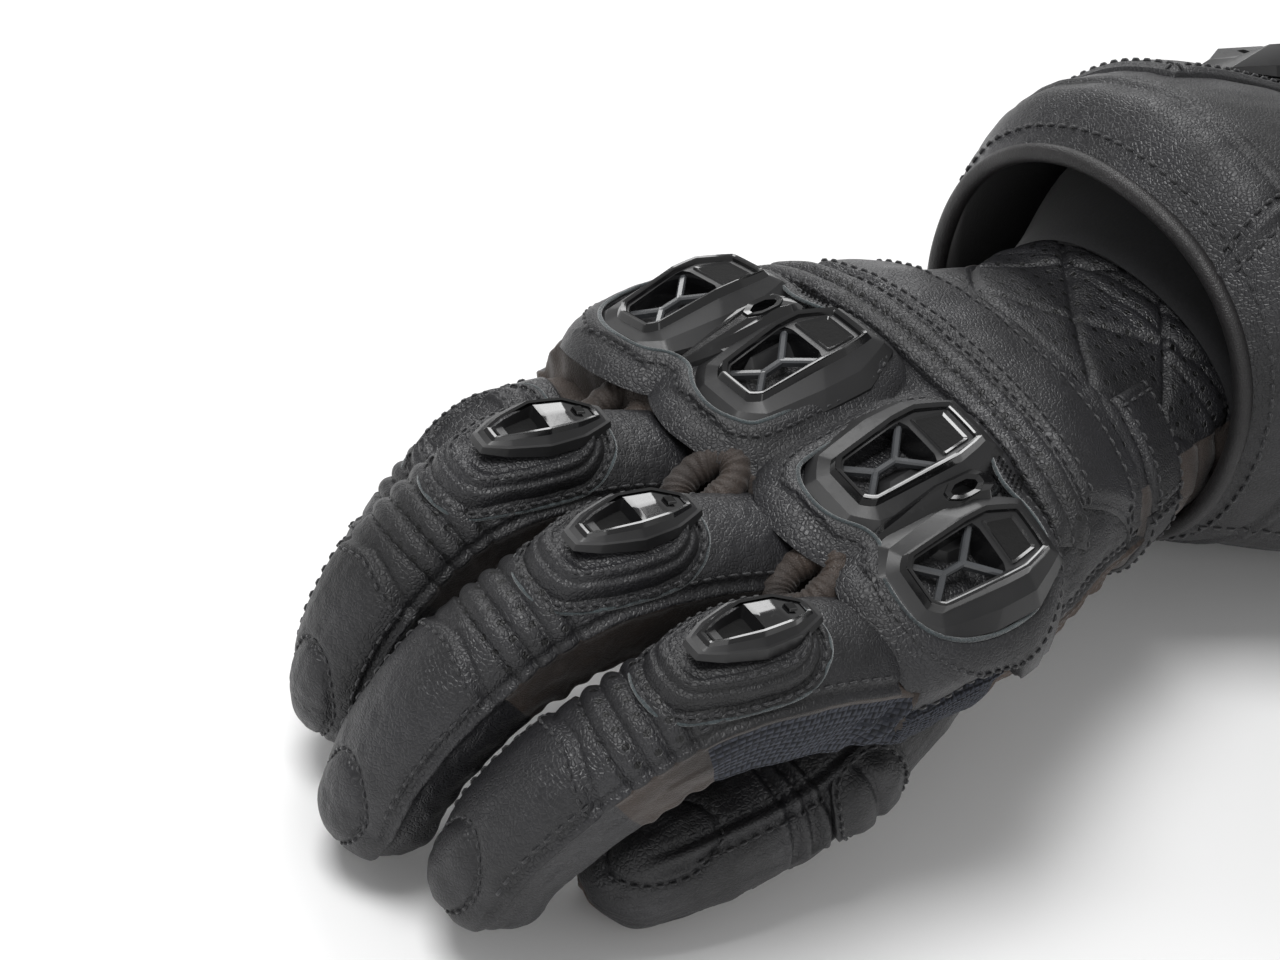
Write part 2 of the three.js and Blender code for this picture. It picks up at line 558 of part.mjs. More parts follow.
// ---------------------------------------------------------------- cuff
const cuffBody = (offset) => toSolid(stationSolid(CUFF, 84, 184, offset));

// Rolled edge: a small round section carried round the end of the cuff at y.
function binding(y, end) {
  const middle = stationRing(CUFF, end, -WALL / 2, HAND_RING);
  const centre = middle.reduce((sum, p) => sum.add(p), vec(0, 0, 0)).divideScalar(HAND_RING);
  const rings = middle.map((p) => {
    const out = p.clone().sub(centre).setY(0).normalize();
    return Array.from({ length: 6 }, (_, i) => {
      const angle = i / 6 * Math.PI * 2;
      const shift = out.clone().multiplyScalar(BINDING_R * Math.cos(angle));
      return vec(p.x + shift.x, y + BINDING_R * Math.sin(angle), p.z + shift.z);
    });
  });
  return ringsGeometry(rings, true);
}

add("cuff_outer", stationSleeve(CUFF, 84, 184, 0, -WALL), COLOUR.leather);
add("cuff_lining", stationSleeve(LINING, 95, 183.5, 0, -1.2), COLOUR.lining, 0.9);
add("cuff_front_binding", binding(84 - GAP - BINDING_R, 84), COLOUR.edge);
add("cuff_rear_binding", binding(184 + GAP + BINDING_R, 184), COLOUR.edge);
const { y0: flapFront, y1: flapRear, foot: flapFoot, edge: flapEdge } = FLAP;
add("cuff_flap", layer(cuffBody, GAP, 2.6, cut(-90, flapEdge, flapFront, flapRear, flapFoot, 120)), COLOUR.leather);

// Hard guard: a long bevelled plate with two slots, seated on the cuff.
const GUARD_PLATE = {
  foot: mirrored([[7, -24], [13, -14], [14, 6], [9, 22]]),
  crest: mirrored([[4.5, -20, 3.2], [9, -12, 5.4], [9.6, 5, 5.8], [6, 18, 3.4]]),
};

function guard(scale) {
  const { foot, crest } = GUARD_PLATE;
  const plate = facets(flat(foot, -12), flat(foot, 1.2), crest);
  const slots = [-8, -1].map((y) => box(10, 2.4, 40, 0, y, 0));
  return plate.subtract(slots[0]).subtract(slots[1]).scale([scale, scale, 1]);
}

// Frame on the cuff's skin: x round it, y along it, z off it.
function cuffFrame({ y, angle }, lift) {
  const point = (along, turn) => {
    const ring = stationRing(CUFF, along, lift, 360);
    return ring[Math.round(turn + 360) % 360];
  };
  const round = point(y, angle - 4).sub(point(y, angle + 4)).normalize();
  const along = point(y + 12, angle).sub(point(y - 12, angle)).normalize();
  const off = round.clone().cross(along).normalize();
  return new THREE.Matrix4().makeBasis(along.clone().cross(off), along, off).setPosition(point(y, angle));
}

const guardFrame = cuffFrame(GUARD, 2);
add("cuff_guard", largest(turned(guard(GUARD.size), guardFrame).subtract(cuffBody(1.9))), COLOUR.shell, 0.4);
const guardColumn = turned(facets(flat(grown(GUARD_PLATE.foot, 4), -12), flat(grown(GUARD_PLATE.foot, 4), 20)), guardFrame);
add("cuff_guard_pad", largest(layer(cuffBody, GAP, 1.6, guardColumn)), COLOUR.leather);
const ulnaGuard = turned(guard(ULNA_GUARD.size), cuffFrame(ULNA_GUARD, 3)).subtract(cuffBody(2.9));
add("ulna_guard", largest(ulnaGuard), COLOUR.shell, 0.4);

export default group;
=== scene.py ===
"""A right-hand leather race gauntlet glove with hard vented knuckle shells, built on its CAD frame."""

import logging
import math
from dataclasses import dataclass, field
from enum import Enum
from typing import Callable, Iterable, Sequence

import bmesh
import bpy
import numpy as np
from mathutils import Matrix, Vector


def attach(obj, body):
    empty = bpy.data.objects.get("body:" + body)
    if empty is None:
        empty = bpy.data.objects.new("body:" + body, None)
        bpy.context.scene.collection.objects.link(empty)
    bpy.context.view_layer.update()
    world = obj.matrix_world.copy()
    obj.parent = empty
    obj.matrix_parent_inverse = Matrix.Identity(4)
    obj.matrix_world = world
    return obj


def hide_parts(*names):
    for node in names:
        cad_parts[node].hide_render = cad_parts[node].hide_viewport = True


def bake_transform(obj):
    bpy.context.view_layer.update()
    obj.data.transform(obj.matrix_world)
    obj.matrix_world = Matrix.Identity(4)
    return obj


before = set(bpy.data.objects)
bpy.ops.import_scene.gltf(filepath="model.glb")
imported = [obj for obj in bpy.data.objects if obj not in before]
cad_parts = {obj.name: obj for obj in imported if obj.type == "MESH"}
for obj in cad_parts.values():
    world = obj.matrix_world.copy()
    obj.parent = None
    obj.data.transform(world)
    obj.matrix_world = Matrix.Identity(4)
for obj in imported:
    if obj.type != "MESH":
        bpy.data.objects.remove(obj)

logging.basicConfig(level=logging.INFO, format="%(message)s")
log = logging.getLogger("glove")

MM = 0.001
ORIGIN = np.array((4.65, 51.55, 2.1))
"""Place of the row frame's origin in the pattern frame below, whose lengths are millimetres."""

FINGER_NAMES = ("index", "middle", "ring", "pinky")
TAU = 2 * math.pi
Grid = np.ndarray


# ---------------------------------------------------------------- small numbers
def linear(code: str) -> tuple[float, float, float, float]:
    """An sRGB hex colour as linear light.

    Args:
        code: six hex digits.

    Returns:
        Red, green, blue and an alpha of one.
    """
    parts = (int(code[i:i + 2], 16) / 255 for i in (0, 2, 4))
    r, g, b = (c / 12.92 if c <= 0.04045 else ((c + 0.055) / 1.055) ** 2.4 for c in parts)
    return (r, g, b, 1.0)


def to_row(points: Grid) -> Grid:
    """Pattern-frame millimetres to row-frame metres."""
    return (np.asarray(points, float) - ORIGIN) * MM


def step(x: Grid, low: float, high: float) -> Grid:
    """Smooth step: 0 below low, 1 above high, 3k^2 - 2k^3 between."""
    k = np.clip((np.asarray(x, float) - low) / (high - low), 0, 1)
    return k * k * (3 - 2 * k)


def inside(x: Grid, low: float, high: float, soft: float) -> Grid:
    """1 between low and high, with edges soft wide: one step up times one step down."""
    return step(x, low - soft / 2, low + soft / 2) * (1 - step(x, high - soft / 2, high + soft / 2))


def bump(x: Grid, width: float) -> Grid:
    """Bell of height 1 at 0: exp of minus (x / width) squared."""
    return np.exp(-((np.asarray(x, float) / width) ** 2))


def ripple(x: Grid, y: Grid, pitch: float, seed: int, waves: int = 7) -> Grid:
    """Smooth folds: a mean of sine waves with seeded directions and phases.

    Args:
        x: first coordinate, in mm.
        y: second coordinate, in mm.
        pitch: usual length of a wave, in mm.
        seed: what the directions and phases are drawn with.
        waves: how many waves are summed.

    Returns:
        Heights of about -1 to 1.
    """
    rng = np.random.default_rng(seed)
    total = np.zeros(np.broadcast(x, y).shape)
    for _ in range(waves):
        turn, phase, k = rng.uniform(0, TAU), rng.uniform(0, TAU), TAU / (pitch * rng.uniform(0.6, 1.6))
        total += np.sin(k * (np.cos(turn) * x + np.sin(turn) * y) + phase)
    return total / math.sqrt(waves) * 0.8


def smooth_table(keys: Sequence[float], values: Sequence[float], x: Grid) -> Grid:
    """Monotone cubic through (key, value) pairs, flat outside them.

    The slope at each key is the harmonic mean of its neighbours' slopes, or zero at a turn.
    """
    k, v = np.asarray(keys, float), np.asarray(values, float)
    h, d = np.diff(k), np.diff(v) / np.diff(k)
    slope = np.zeros_like(v)
    same = d[:-1] * d[1:] > 0
    slope[1:-1] = np.where(same, 2 * d[:-1] * d[1:] / np.where(same, d[:-1] + d[1:], 1), 0)
    slope[0], slope[-1] = d[0], d[-1]
    x = np.clip(np.asarray(x, float), k[0], k[-1])
    i = np.clip(np.searchsorted(k, x, side="right") - 1, 0, len(h) - 1)
    t = (x - k[i]) / h[i]
    a, b = v[i], v[i + 1]
    return (a * (1 + 2 * t) * (1 - t) ** 2 + b * t * t * (3 - 2 * t)
            + slope[i] * h[i] * t * (1 - t) ** 2 - slope[i + 1] * h[i] * t * t * (1 - t))


def unit(v: Grid) -> Grid:
    """Rows of v at length one."""
    return v / np.maximum(np.linalg.norm(v, axis=-1, keepdims=True), 1e-12)


# ---------------------------------------------------------------- materials
def node(tree: bpy.types.NodeTree, kind: str, settings: dict | None = None,
         **links: object) -> bpy.types.Node:
    """Adds a node with its settings and links.

    Args:
        tree: the material's node tree.
        kind: the node's type name.
        settings: values by attribute name, or by input name or number.
        links: output sockets by the name of the input they feed, with _ for a space.

    Returns:
        The node.
    """
    made = tree.nodes.new(kind)
    for key, value in (settings or {}).items():
        if isinstance(key, str) and hasattr(made, key) and key not in made.inputs:
            setattr(made, key, value)
        else:
            made.inputs[key].default_value = value
    for key, socket in links.items():
        target = int(key[1:]) if key[0] == "i" and key[1:].isdigit() else key.replace("_", " ")
        tree.links.new(socket, made.inputs[target])
    return made


def ramp(tree: bpy.types.NodeTree, fac: bpy.types.NodeSocket, low: float, high: float, a: float,
         b: float) -> bpy.types.NodeSocket:
    """Maps fac from low..high to a..b, clamped, and returns the result's socket."""
    return node(tree, "ShaderNodeMapRange", {"From Min": low, "From Max": high, "To Min": a, "To Max": b},
                Value=fac).outputs[0]


def mixed(tree: bpy.types.NodeTree, fac: bpy.types.NodeSocket, a: object,
          b: object) -> bpy.types.NodeSocket:
    """Mixes two colours, each a socket or four numbers, and returns the result's socket."""
    made = node(tree, "ShaderNodeMix", {"data_type": "RGBA"})
    tree.links.new(fac, made.inputs[0])
    for place, value in ((6, a), (7, b)):
        if isinstance(value, bpy.types.NodeSocket):
            tree.links.new(value, made.inputs[place])
        else:
            made.inputs[place].default_value = value
    return made.outputs[2]


@dataclass(frozen=True)
class Leather:
    """Drum-dyed cowhide: a pebbled grain about 0.7 mm wide under a thin pigment coat, with fine creases.

    The coat gives a broad soft highlight. Where the grain is rubbed it is a little smoother and paler.
    """

    name: str
    dark: str
    light: str
    grain_mm: float = 0.75
    depth_mm: float = 0.10
    rough: tuple[float, float] = (0.36, 0.54)
    sheen: float = 0.0
    holes_mm: float = 0.0

    def make(self) -> bpy.types.Material:
        """Builds the material: grain from cell distances, creases and cloudy dye from noise, with painted
        shade darkening the valleys between the grain's cells.
        """
        material, tree, shader = bare(self.name)
        at = node(tree, "ShaderNodeTexCoord").outputs["Object"]
        bend = node(tree, "ShaderNodeTexNoise", {"Scale": 260.0, "Detail": 2.0}, Vector=at).outputs["Color"]
        bent = node(tree, "ShaderNodeMix", {"data_type": "VECTOR", 0: 0.0016})
        tree.links.new(at, bent.inputs[4])
        tree.links.new(bend, bent.inputs[5])
        cells = node(tree, "ShaderNodeTexVoronoi",
                     {"feature": "DISTANCE_TO_EDGE", "Scale": 1000 / self.grain_mm},
                     Vector=bent.outputs[1])
        pebble = ramp(tree, cells.outputs["Distance"], 0.0, 0.22, 0.0, 1.0)
        fine = node(tree, "ShaderNodeTexNoise", {"Scale": 2600.0, "Detail": 3.0}, Vector=at).outputs["Fac"]
        cloud = node(tree, "ShaderNodeTexNoise", {"Scale": 48.0, "Detail": 5.0, "Roughness": 0.6},
                     Vector=at).outputs["Fac"]
        fold = node(tree, "ShaderNodeTexNoise", {"Scale": 150.0, "Detail": 4.0, "Distortion": 0.6},
                    Vector=at).outputs["Fac"]
        colour = mixed(tree, ramp(tree, cloud, 0.36, 0.68, 0.0, 1.0), linear(self.dark), linear(self.light))
        # Painted shade: the colour is darkened towards a deeper black in the valleys between the grain's
        # cells.
        valley_shade = ramp(tree, cells.outputs["Distance"], 0.0, 0.09, 0.45, 0.0)
        colour = mixed(tree, valley_shade, colour, tuple(0.45 * c for c in linear(self.dark)[:3]) + (1.0,))
        rough = node(tree, "ShaderNodeMath", {"operation": "ADD"})
        tree.links.new(ramp(tree, cloud, 0.35, 0.7, self.rough[1], self.rough[0]), rough.inputs[0])
        tree.links.new(ramp(tree, fine, 0.3, 0.7, -0.04, 0.06), rough.inputs[1])
        height = node(tree, "ShaderNodeMath", {"operation": "MULTIPLY_ADD", 1: 0.35}, i0=fine, i2=pebble)
        raised = node(tree, "ShaderNodeMath", {"operation": "MULTIPLY_ADD", 1: 1.4}, i0=fold,
                      i2=height.outputs[0])
        top = raised.outputs[0]
        if self.holes_mm:
            punched = node(tree, "ShaderNodeUVMap", {"uv_map": "mm"}).outputs[0]
            dots = node(tree, "ShaderNodeTexVoronoi", {"Scale": 1 / self.holes_mm, "Randomness": 0.0},
                        Vector=punched)
            # Painted shade: each perforation dot is coloured near-black for the shade inside the hole; the
            # leather is not cut through.
            hole = ramp(tree, dots.outputs["Distance"], 0.15, 0.19, 1.0, 0.0)
            colour = mixed(tree, hole, colour, (0.0005, 0.0005, 0.0005, 1.0))
            sunk = node(tree, "ShaderNodeMath", {"operation": "MULTIPLY_ADD", 1: -1.4}, i0=hole, i2=top)
            top = sunk.outputs[0]
        tree.links.new(colour, shader.inputs["Base Color"])
        tree.links.new(rough.outputs[0], shader.inputs["Roughness"])
        lifted = node(tree, "ShaderNodeBump", {"Strength": 0.75, "Distance": self.depth_mm * MM},
                      Height=top)
        tree.links.new(lifted.outputs[0], shader.inputs["Normal"])
        shader.inputs["IOR"].default_value = 1.48
        shader.inputs["Specular IOR Level"].default_value = 0.55
        shader.inputs["Sheen Weight"].default_value = self.sheen
        shader.inputs["Sheen Roughness"].default_value = 0.5
        return material


@dataclass(frozen=True)
class Suede:
    """Napped split leather with printed rubber dots: dull, fibrous, paler where the nap is brushed."""

    name: str
    dark: str
    light: str
    dot_mm: float = 2.2

    def make(self) -> bpy.types.Material:
        """Builds the material: nap from two scales of noise, dots on a grid on the piece's own map."""
        material, tree, shader = bare(self.name)
        at = node(tree, "ShaderNodeTexCoord").outputs["Object"]
        nap = node(tree, "ShaderNodeTexNoise", {"Scale": 1500.0, "Detail": 4.0, "Roughness": 0.7},
                   Vector=at).outputs["Fac"]
        brushed = node(tree, "ShaderNodeTexNoise", {"Scale": 90.0, "Detail": 5.0, "Distortion": 1.0},
                       Vector=at).outputs["Fac"]
        own = node(tree, "ShaderNodeUVMap", {"uv_map": "mm"}).outputs[0]
        dots = node(tree, "ShaderNodeTexVoronoi", {"Scale": 1 / self.dot_mm, "Randomness": 0.0}, Vector=own)
        dot = ramp(tree, dots.outputs["Distance"], 0.20, 0.30, 1.0, 0.0)
        colour = mixed(tree, ramp(tree, brushed, 0.35, 0.7, 0.0, 1.0), linear(self.dark),
                       linear(self.light))
        colour = mixed(tree, ramp(tree, nap, 0.35, 0.75, 0.0, 0.5), colour,
                       tuple(0.5 * c for c in linear(self.dark)[:3]) + (1.0,))
        shade = node(tree, "ShaderNodeMath", {"operation": "MULTIPLY", 1: 0.75}, i0=dot)
        colour = mixed(tree, shade.outputs[0], colour, linear("1a1718"))
        tree.links.new(colour, shader.inputs["Base Color"])
        tree.links.new(ramp(tree, dot, 0.0, 1.0, 0.92, 0.5), shader.inputs["Roughness"])
        height = node(tree, "ShaderNodeMath", {"operation": "MULTIPLY_ADD", 1: 1.6}, i0=dot, i2=nap)
        lifted = node(tree, "ShaderNodeBump", {"Strength": 0.8, "Distance": 0.16 * MM},
                      Height=height.outputs[0])
        tree.links.new(lifted.outputs[0], shader.inputs["Normal"])
        shader.inputs["Sheen Weight"].default_value = 0.35
        shader.inputs["Sheen Roughness"].default_value = 0.4
        shader.inputs["Sheen Tint"].default_value = linear("8a7a70")
        return material


@dataclass(frozen=True)
class Weave:
    """Coarse two-colour basket weave: thick yarns over and under each other, with a soft halo of fibre."""

    name: str
    warp: str
    weft: str
    yarn_mm: float = 1.05

    def make(self) -> bpy.types.Material:
        """Builds the material: each yarn is a rounded sine bar, and a checker says which one lies on top; the
        low gaps between yarns are painted dark as shade.
        """
        material, tree, shader = bare(self.name)
        own = node(tree, "ShaderNodeUVMap", {"uv_map": "mm"}).outputs[0]
        apart = node(tree, "ShaderNodeSeparateXYZ", None, Vector=own)
        bars = []
        for axis in (0, 1):
            turn = node(tree, "ShaderNodeMath", {"operation": "MULTIPLY", 1: math.pi / self.yarn_mm},
                        i0=apart.outputs[axis])
            wave = node(tree, "ShaderNodeMath", {"operation": "SINE"}, i0=turn.outputs[0])
            bars.append(node(tree, "ShaderNodeMath", {"operation": "ABSOLUTE"},
                             i0=wave.outputs[0]).outputs[0])
        over = node(tree, "ShaderNodeTexChecker", {"Scale": 1 / self.yarn_mm}, Vector=own).outputs["Fac"]
        colour = mixed(tree, over, linear(self.warp), linear(self.weft))
        high = node(tree, "ShaderNodeMix", {"data_type": "FLOAT"})
        tree.links.new(over, high.inputs[0])
        tree.links.new(bars[0], high.inputs[2])
        tree.links.new(bars[1], high.inputs[3])
        both = node(tree, "ShaderNodeMath", {"operation": "MULTIPLY"}, i0=bars[0], i1=bars[1])
        height = node(tree, "ShaderNodeMath", {"operation": "MULTIPLY_ADD", 1: 0.7}, i0=high.outputs[0],
                      i2=both.outputs[0])
        at = node(tree, "ShaderNodeTexCoord").outputs["Object"]
        fuzz = node(tree, "ShaderNodeTexNoise", {"Scale": 3200.0, "Detail": 3.0}, Vector=at).outputs["Fac"]
        all_ = node(tree, "ShaderNodeMath", {"operation": "MULTIPLY_ADD", 1: 0.5}, i0=fuzz,
                    i2=height.outputs[0])
        # Painted shade: colour darkened towards black where the yarns lie low, in the gaps between them.
        colour = mixed(tree, ramp(tree, height.outputs[0], 0.0, 0.75, 0.85, 0.0), colour,
                       (0.002, 0.002, 0.003, 1.0))
        tree.links.new(colour, shader.inputs["Base Color"])
        shader.inputs["Roughness"].default_value = 0.85
        lifted = node(tree, "ShaderNodeBump", {"Strength": 0.9, "Distance": 0.3 * MM},
                      Height=all_.outputs[0])
        tree.links.new(lifted.outputs[0], shader.inputs["Normal"])
        shader.inputs["Sheen Weight"].default_value = 0.5
        shader.inputs["Sheen Roughness"].default_value = 0.45
        shader.inputs["Sheen Tint"].default_value = linear("6a7080")
        return material


@dataclass(frozen=True)
class Moulded:
    """Injection-moulded TPU: a spark-eroded matt skin or a polished one, with flow marks and wear."""

    name: str
    dark: str
    light: str
    rough: tuple[float, float]
    texture_mm: float = 0.25
    depth_mm: float = 0.02
    coat: float = 0.0

    def make(self) -> bpy.types.Material:
        """Builds the material: fine mould texture, cloudy gloss and thin scuffs from noise."""
        material, tree, shader = bare(self.name)
        at = node(tree, "ShaderNodeTexCoord").outputs["Object"]
        skin = node(tree, "ShaderNodeTexNoise", {"Scale": 1000 / self.texture_mm, "Detail": 2.0},
                    Vector=at).outputs["Fac"]
        cloud = node(tree, "ShaderNodeTexNoise", {"Scale": 60.0, "Detail": 4.0}, Vector=at).outputs["Fac"]
        scuff = node(tree, "ShaderNodeTexNoise", {"Scale": 420.0, "Detail": 3.0, "Distortion": 2.0},
                     Vector=at).outputs["Fac"]
        colour = mixed(tree, ramp(tree, cloud, 0.35, 0.7, 0.0, 1.0), linear(self.dark), linear(self.light))
        rough = node(tree, "ShaderNodeMath", {"operation": "ADD"})
        tree.links.new(ramp(tree, cloud, 0.35, 0.7, *self.rough), rough.inputs[0])
        tree.links.new(ramp(tree, scuff, 0.58, 0.75, 0.0, 0.12), rough.inputs[1])
        tree.links.new(colour, shader.inputs["Base Color"])
        tree.links.new(rough.outputs[0], shader.inputs["Roughness"])
        lifted = node(tree, "ShaderNodeBump", {"Strength": 0.6, "Distance": self.depth_mm * MM},
                      Height=skin)
        tree.links.new(lifted.outputs[0], shader.inputs["Normal"])
        shader.inputs["IOR"].default_value = 1.5
        shader.inputs["Coat Weight"].default_value = self.coat
        shader.inputs["Coat Roughness"].default_value = 0.08
        return material


@dataclass(frozen=True)
class Fibre:
    """Spun or cut fibre: thread, knitted lining or a raw cut edge, matt with a soft rim of light."""

    name: str
    dark: str
    light: str
    pitch_mm: float
    depth_mm: float = 0.08
    rough: float = 0.8
    sheen: float = 0.4

    def make(self) -> bpy.types.Material:
        """Builds the material: stretched noise for the fibres, with colour and height from the same noise."""
        material, tree, shader = bare(self.name)
        at = node(tree, "ShaderNodeTexCoord").outputs["Object"]
        lines = node(tree, "ShaderNodeTexNoise",
                     {"Scale": 1000 / self.pitch_mm, "Detail": 4.0, "Roughness": 0.65}, Vector=at)
        cloud = node(tree, "ShaderNodeTexNoise", {"Scale": 110.0, "Detail": 3.0}, Vector=at).outputs["Fac"]
        tint = node(tree, "ShaderNodeMath", {"operation": "MULTIPLY_ADD", 1: 0.6}, i0=cloud,
                    i2=lines.outputs["Fac"])
        colour = mixed(tree, ramp(tree, tint.outputs[0], 0.6, 1.05, 0.0, 1.0), linear(self.dark),
                       linear(self.light))
        tree.links.new(colour, shader.inputs["Base Color"])
        lifted = node(tree, "ShaderNodeBump", {"Strength": 0.9, "Distance": self.depth_mm * MM},
                      Height=lines.outputs["Fac"])
        tree.links.new(lifted.outputs[0], shader.inputs["Normal"])
        shader.inputs["Roughness"].default_value = self.rough
        shader.inputs["Sheen Weight"].default_value = self.sheen
        shader.inputs["Sheen Roughness"].default_value = 0.5
        return material


def bare(name: str) -> tuple[bpy.types.Material, bpy.types.NodeTree, bpy.types.Node]:
    """A new material with nothing but its shader and output.

    Args:
        name: the material's name.

    Returns:
        The material, its node tree and its Principled shader.
    """
    material = bpy.data.materials.new(name)
    material.use_nodes = True
    tree = material.node_tree
    tree.nodes.clear()
    shader = node(tree, "ShaderNodeBsdfPrincipled")
    out = node(tree, "ShaderNodeOutputMaterial")
    tree.links.new(shader.outputs[0], out.inputs[0])
    return material, tree, shader


FINISHES = {
    "grain": Leather("full_grain_leather", "161618", "28282b"),
    "perforated": Leather("perforated_leather", "161618", "28282b", holes_mm=3.0),
    "soft": Leather("washed_goatskin", "1e1714", "3a2d24", grain_mm=0.5, depth_mm=0.07, rough=(0.5, 0.72),
                    sheen=0.15),
    "suede": Suede("dotted_suede", "2a221d", "4a3d35"),
    "textile": Weave("basket_weave_stretch", "23262f", "14161c"),
    "lining": Fibre("brushed_lining", "0d0d0f", "1c1c20", pitch_mm=0.6),
    "piping": Leather("piping_leather", "151415", "232122", grain_mm=0.5, depth_mm=0.05),
    "raw": Fibre("raw_split_edge", "181d20", "3e4a4d", pitch_mm=0.35, depth_mm=0.25, rough=0.95, sheen=0.6),
    "thread": Fibre("bonded_nylon_thread", "0f0f11", "222226", pitch_mm=0.3, depth_mm=0.05, rough=0.5,
                    sheen=0.2),
    "satin": Moulded("satin_tpu", "1a1a1b", "242425", rough=(0.36, 0.48)),
    "lattice": Moulded("gunmetal_tpu", "37383a", "484a4d", rough=(0.22, 0.32), texture_mm=1.2,
                       depth_mm=0.006, coat=0.3),
    "polished": Moulded("polished_tpu", "0c0c0d", "151516", rough=(0.10, 0.18), texture_mm=1.2,
                        depth_mm=0.006, coat=0.5),
    # Painted shade: a near-black matt sheet laid at the bottom of windows, vents and slots in place of the
    # shade in them.
    "deep": Fibre("painted_shade_black", "020202", "070708", pitch_mm=0.8, depth_mm=0.2, rough=0.95, sheen=0.0),
}
"""Every finish on the glove by a short name."""


class Wardrobe:
    """Makes each finish's material once, when a piece first asks for it."""

    def __init__(self) -> None:
        """Starts with no material made."""
        self.made: dict[str, bpy.types.Material] = {}

    def get(self, name: str) -> bpy.types.Material:
        """The material for a finish's short name."""
        if name not in self.made:
            self.made[name] = FINISHES[name].make()
        return self.made[name]


WARDROBE = Wardrobe()


# ---------------------------------------------------------------- mesh building
class Stock:
    """Faces collected for one piece: grids of quads and many copies of a small part."""

    def __init__(self, name: str) -> None:
        """Starts an empty piece.

        Args:
            name: the piece's name.
        """
        self.name = name
        self.points: list[Grid] = []
        self.quads: list[Grid] = []
        self.maps: list[Grid] = []
        self.marks: list[Grid] = []
        self.finishes: list[str] = []
        self.count = 0

    def _finish(self, finish: str) -> int:
        """Number of a finish on this piece."""
        if finish not in self.finishes:
            self.finishes.append(finish)
        return self.finishes.index(finish)

    def raw(self, points: Grid, quads: Grid, finish: str, uv: Grid | None = None) -> None:
        """Adds points in pattern millimetres with quads that index them.

        Args:
            points: rows of x, y, z.
            quads: rows of four point numbers; the last repeats the third in a triangle.
            finish: short name of the finish.
            uv: rows of two lengths in millimetres, for patterns that follow the surface.
        """
        points = np.asarray(points, float).reshape(-1, 3)
        quads = np.asarray(quads, int).reshape(-1, 4)
        self.points.append(points)
        self.quads.append(quads + self.count)
        self.maps.append(np.zeros((len(points), 2)) if uv is None else np.asarray(uv, float).reshape(-1, 2))
        self.marks.append(np.full(len(quads), self._finish(finish)))
        self.count += len(points)

    def grid(self, points: Grid, finish: str, uv: Grid | None = None, ring: bool = False, outward: Grid
             | None = None,
             finish_of: Grid | None = None, others: Sequence[str] = ()) -> None:
        """Adds a sheet of quads over an n by m grid of points.

        Args:
            points: n by m by 3 millimetres.
            finish: finish of every quad, unless finish_of says otherwise.
            uv: n by m by 2 millimetres.
            ring: joins the last column to the first.
            outward: a point the faces look away from, or an n by m by 3 grid of outward directions.
            finish_of: n-1 by m-1 numbers: 0 for finish, 1 for the first of others, and so on.
            others: further finishes.
        """
        n, m = points.shape[:2]
        rows, cols = np.arange(n - 1), np.arange(m if ring else m - 1)
        i, j = np.meshgrid(rows, cols, indexing="ij")
        k = (j + 1) % m
        quads = np.stack([i * m + j, (i + 1) * m + j, (i + 1) * m + k, i * m + k], -1)
        flat = points.reshape(-1, 3)
        corner = flat[quads]
        face = np.cross(corner[:, :, 2] - corner[:, :, 0], corner[:, :, 3] - corner[:, :, 1])
        if outward is not None:
            outward = np.asarray(outward, float)
            away = corner.mean(2) - outward if outward.ndim == 1 else outward.reshape(-1, 3)[quads[..., 0]]
            if (face * away).sum() < 0:
                quads = quads[..., ::-1]
        quads = quads.reshape(-1, 4)
        if finish_of is None:
            self.raw(flat, quads, finish, uv)
            return
        names = [finish, *others]
        numbers = np.array([self._finish(name) for name in names])
        self.raw(flat, quads, finish, uv)
        self.marks[-1] = numbers[np.asarray(finish_of, int).reshape(-1)]

    def build(self, smooth: bool = True, sharp: float | None = None) -> bpy.types.Object:
        """Makes the piece's object.

        Args:
            smooth: shades it smooth.
            sharp: angle in degrees past which an edge stays hard.

        Returns:
            The object, at the origin, with its place in its mesh.
        """
        points = to_row(np.concatenate(self.points))
        quads, uv, marks = np.concatenate(self.quads), np.concatenate(self.maps), np.concatenate(self.marks)
        mesh = bpy.data.meshes.new(self.name)
        triangle = quads[:, 2] == quads[:, 3]
        sizes = np.where(triangle, 3, 4)
        loops = quads.reshape(-1)[np.stack([np.ones_like(triangle), np.ones_like(triangle),
                                            np.ones_like(triangle), ~triangle],
                                            -1).reshape(-1).astype(bool)]
        mesh.vertices.add(len(points))
        mesh.vertices.foreach_set("co", points.astype(np.float32).reshape(-1))
        mesh.loops.add(len(loops))
        mesh.loops.foreach_set("vertex_index", loops.astype(np.int32))
        mesh.polygons.add(len(quads))
        starts = np.concatenate([[0], np.cumsum(sizes)[:-1]])
        mesh.polygons.foreach_set("loop_start", starts.astype(np.int32))
        mesh.polygons.foreach_set("loop_total", sizes.astype(np.int32))
        mesh.polygons.foreach_set("material_index", marks.astype(np.int32))
        mesh.polygons.foreach_set("use_smooth", np.full(len(quads), smooth))
        layer = mesh.uv_layers.new(name="mm")
        layer.data.foreach_set("uv", uv[loops].astype(np.float32).reshape(-1))
        mesh.update(calc_edges=True)
        mesh.validate()
        for finish in self.finishes:
            mesh.materials.append(WARDROBE.get(finish))
        made = bpy.data.objects.new(self.name, mesh)
        bpy.context.scene.collection.objects.link(made)
        if sharp is not None:
            mesh.set_sharp_from_angle(angle=math.radians(sharp))
        return made


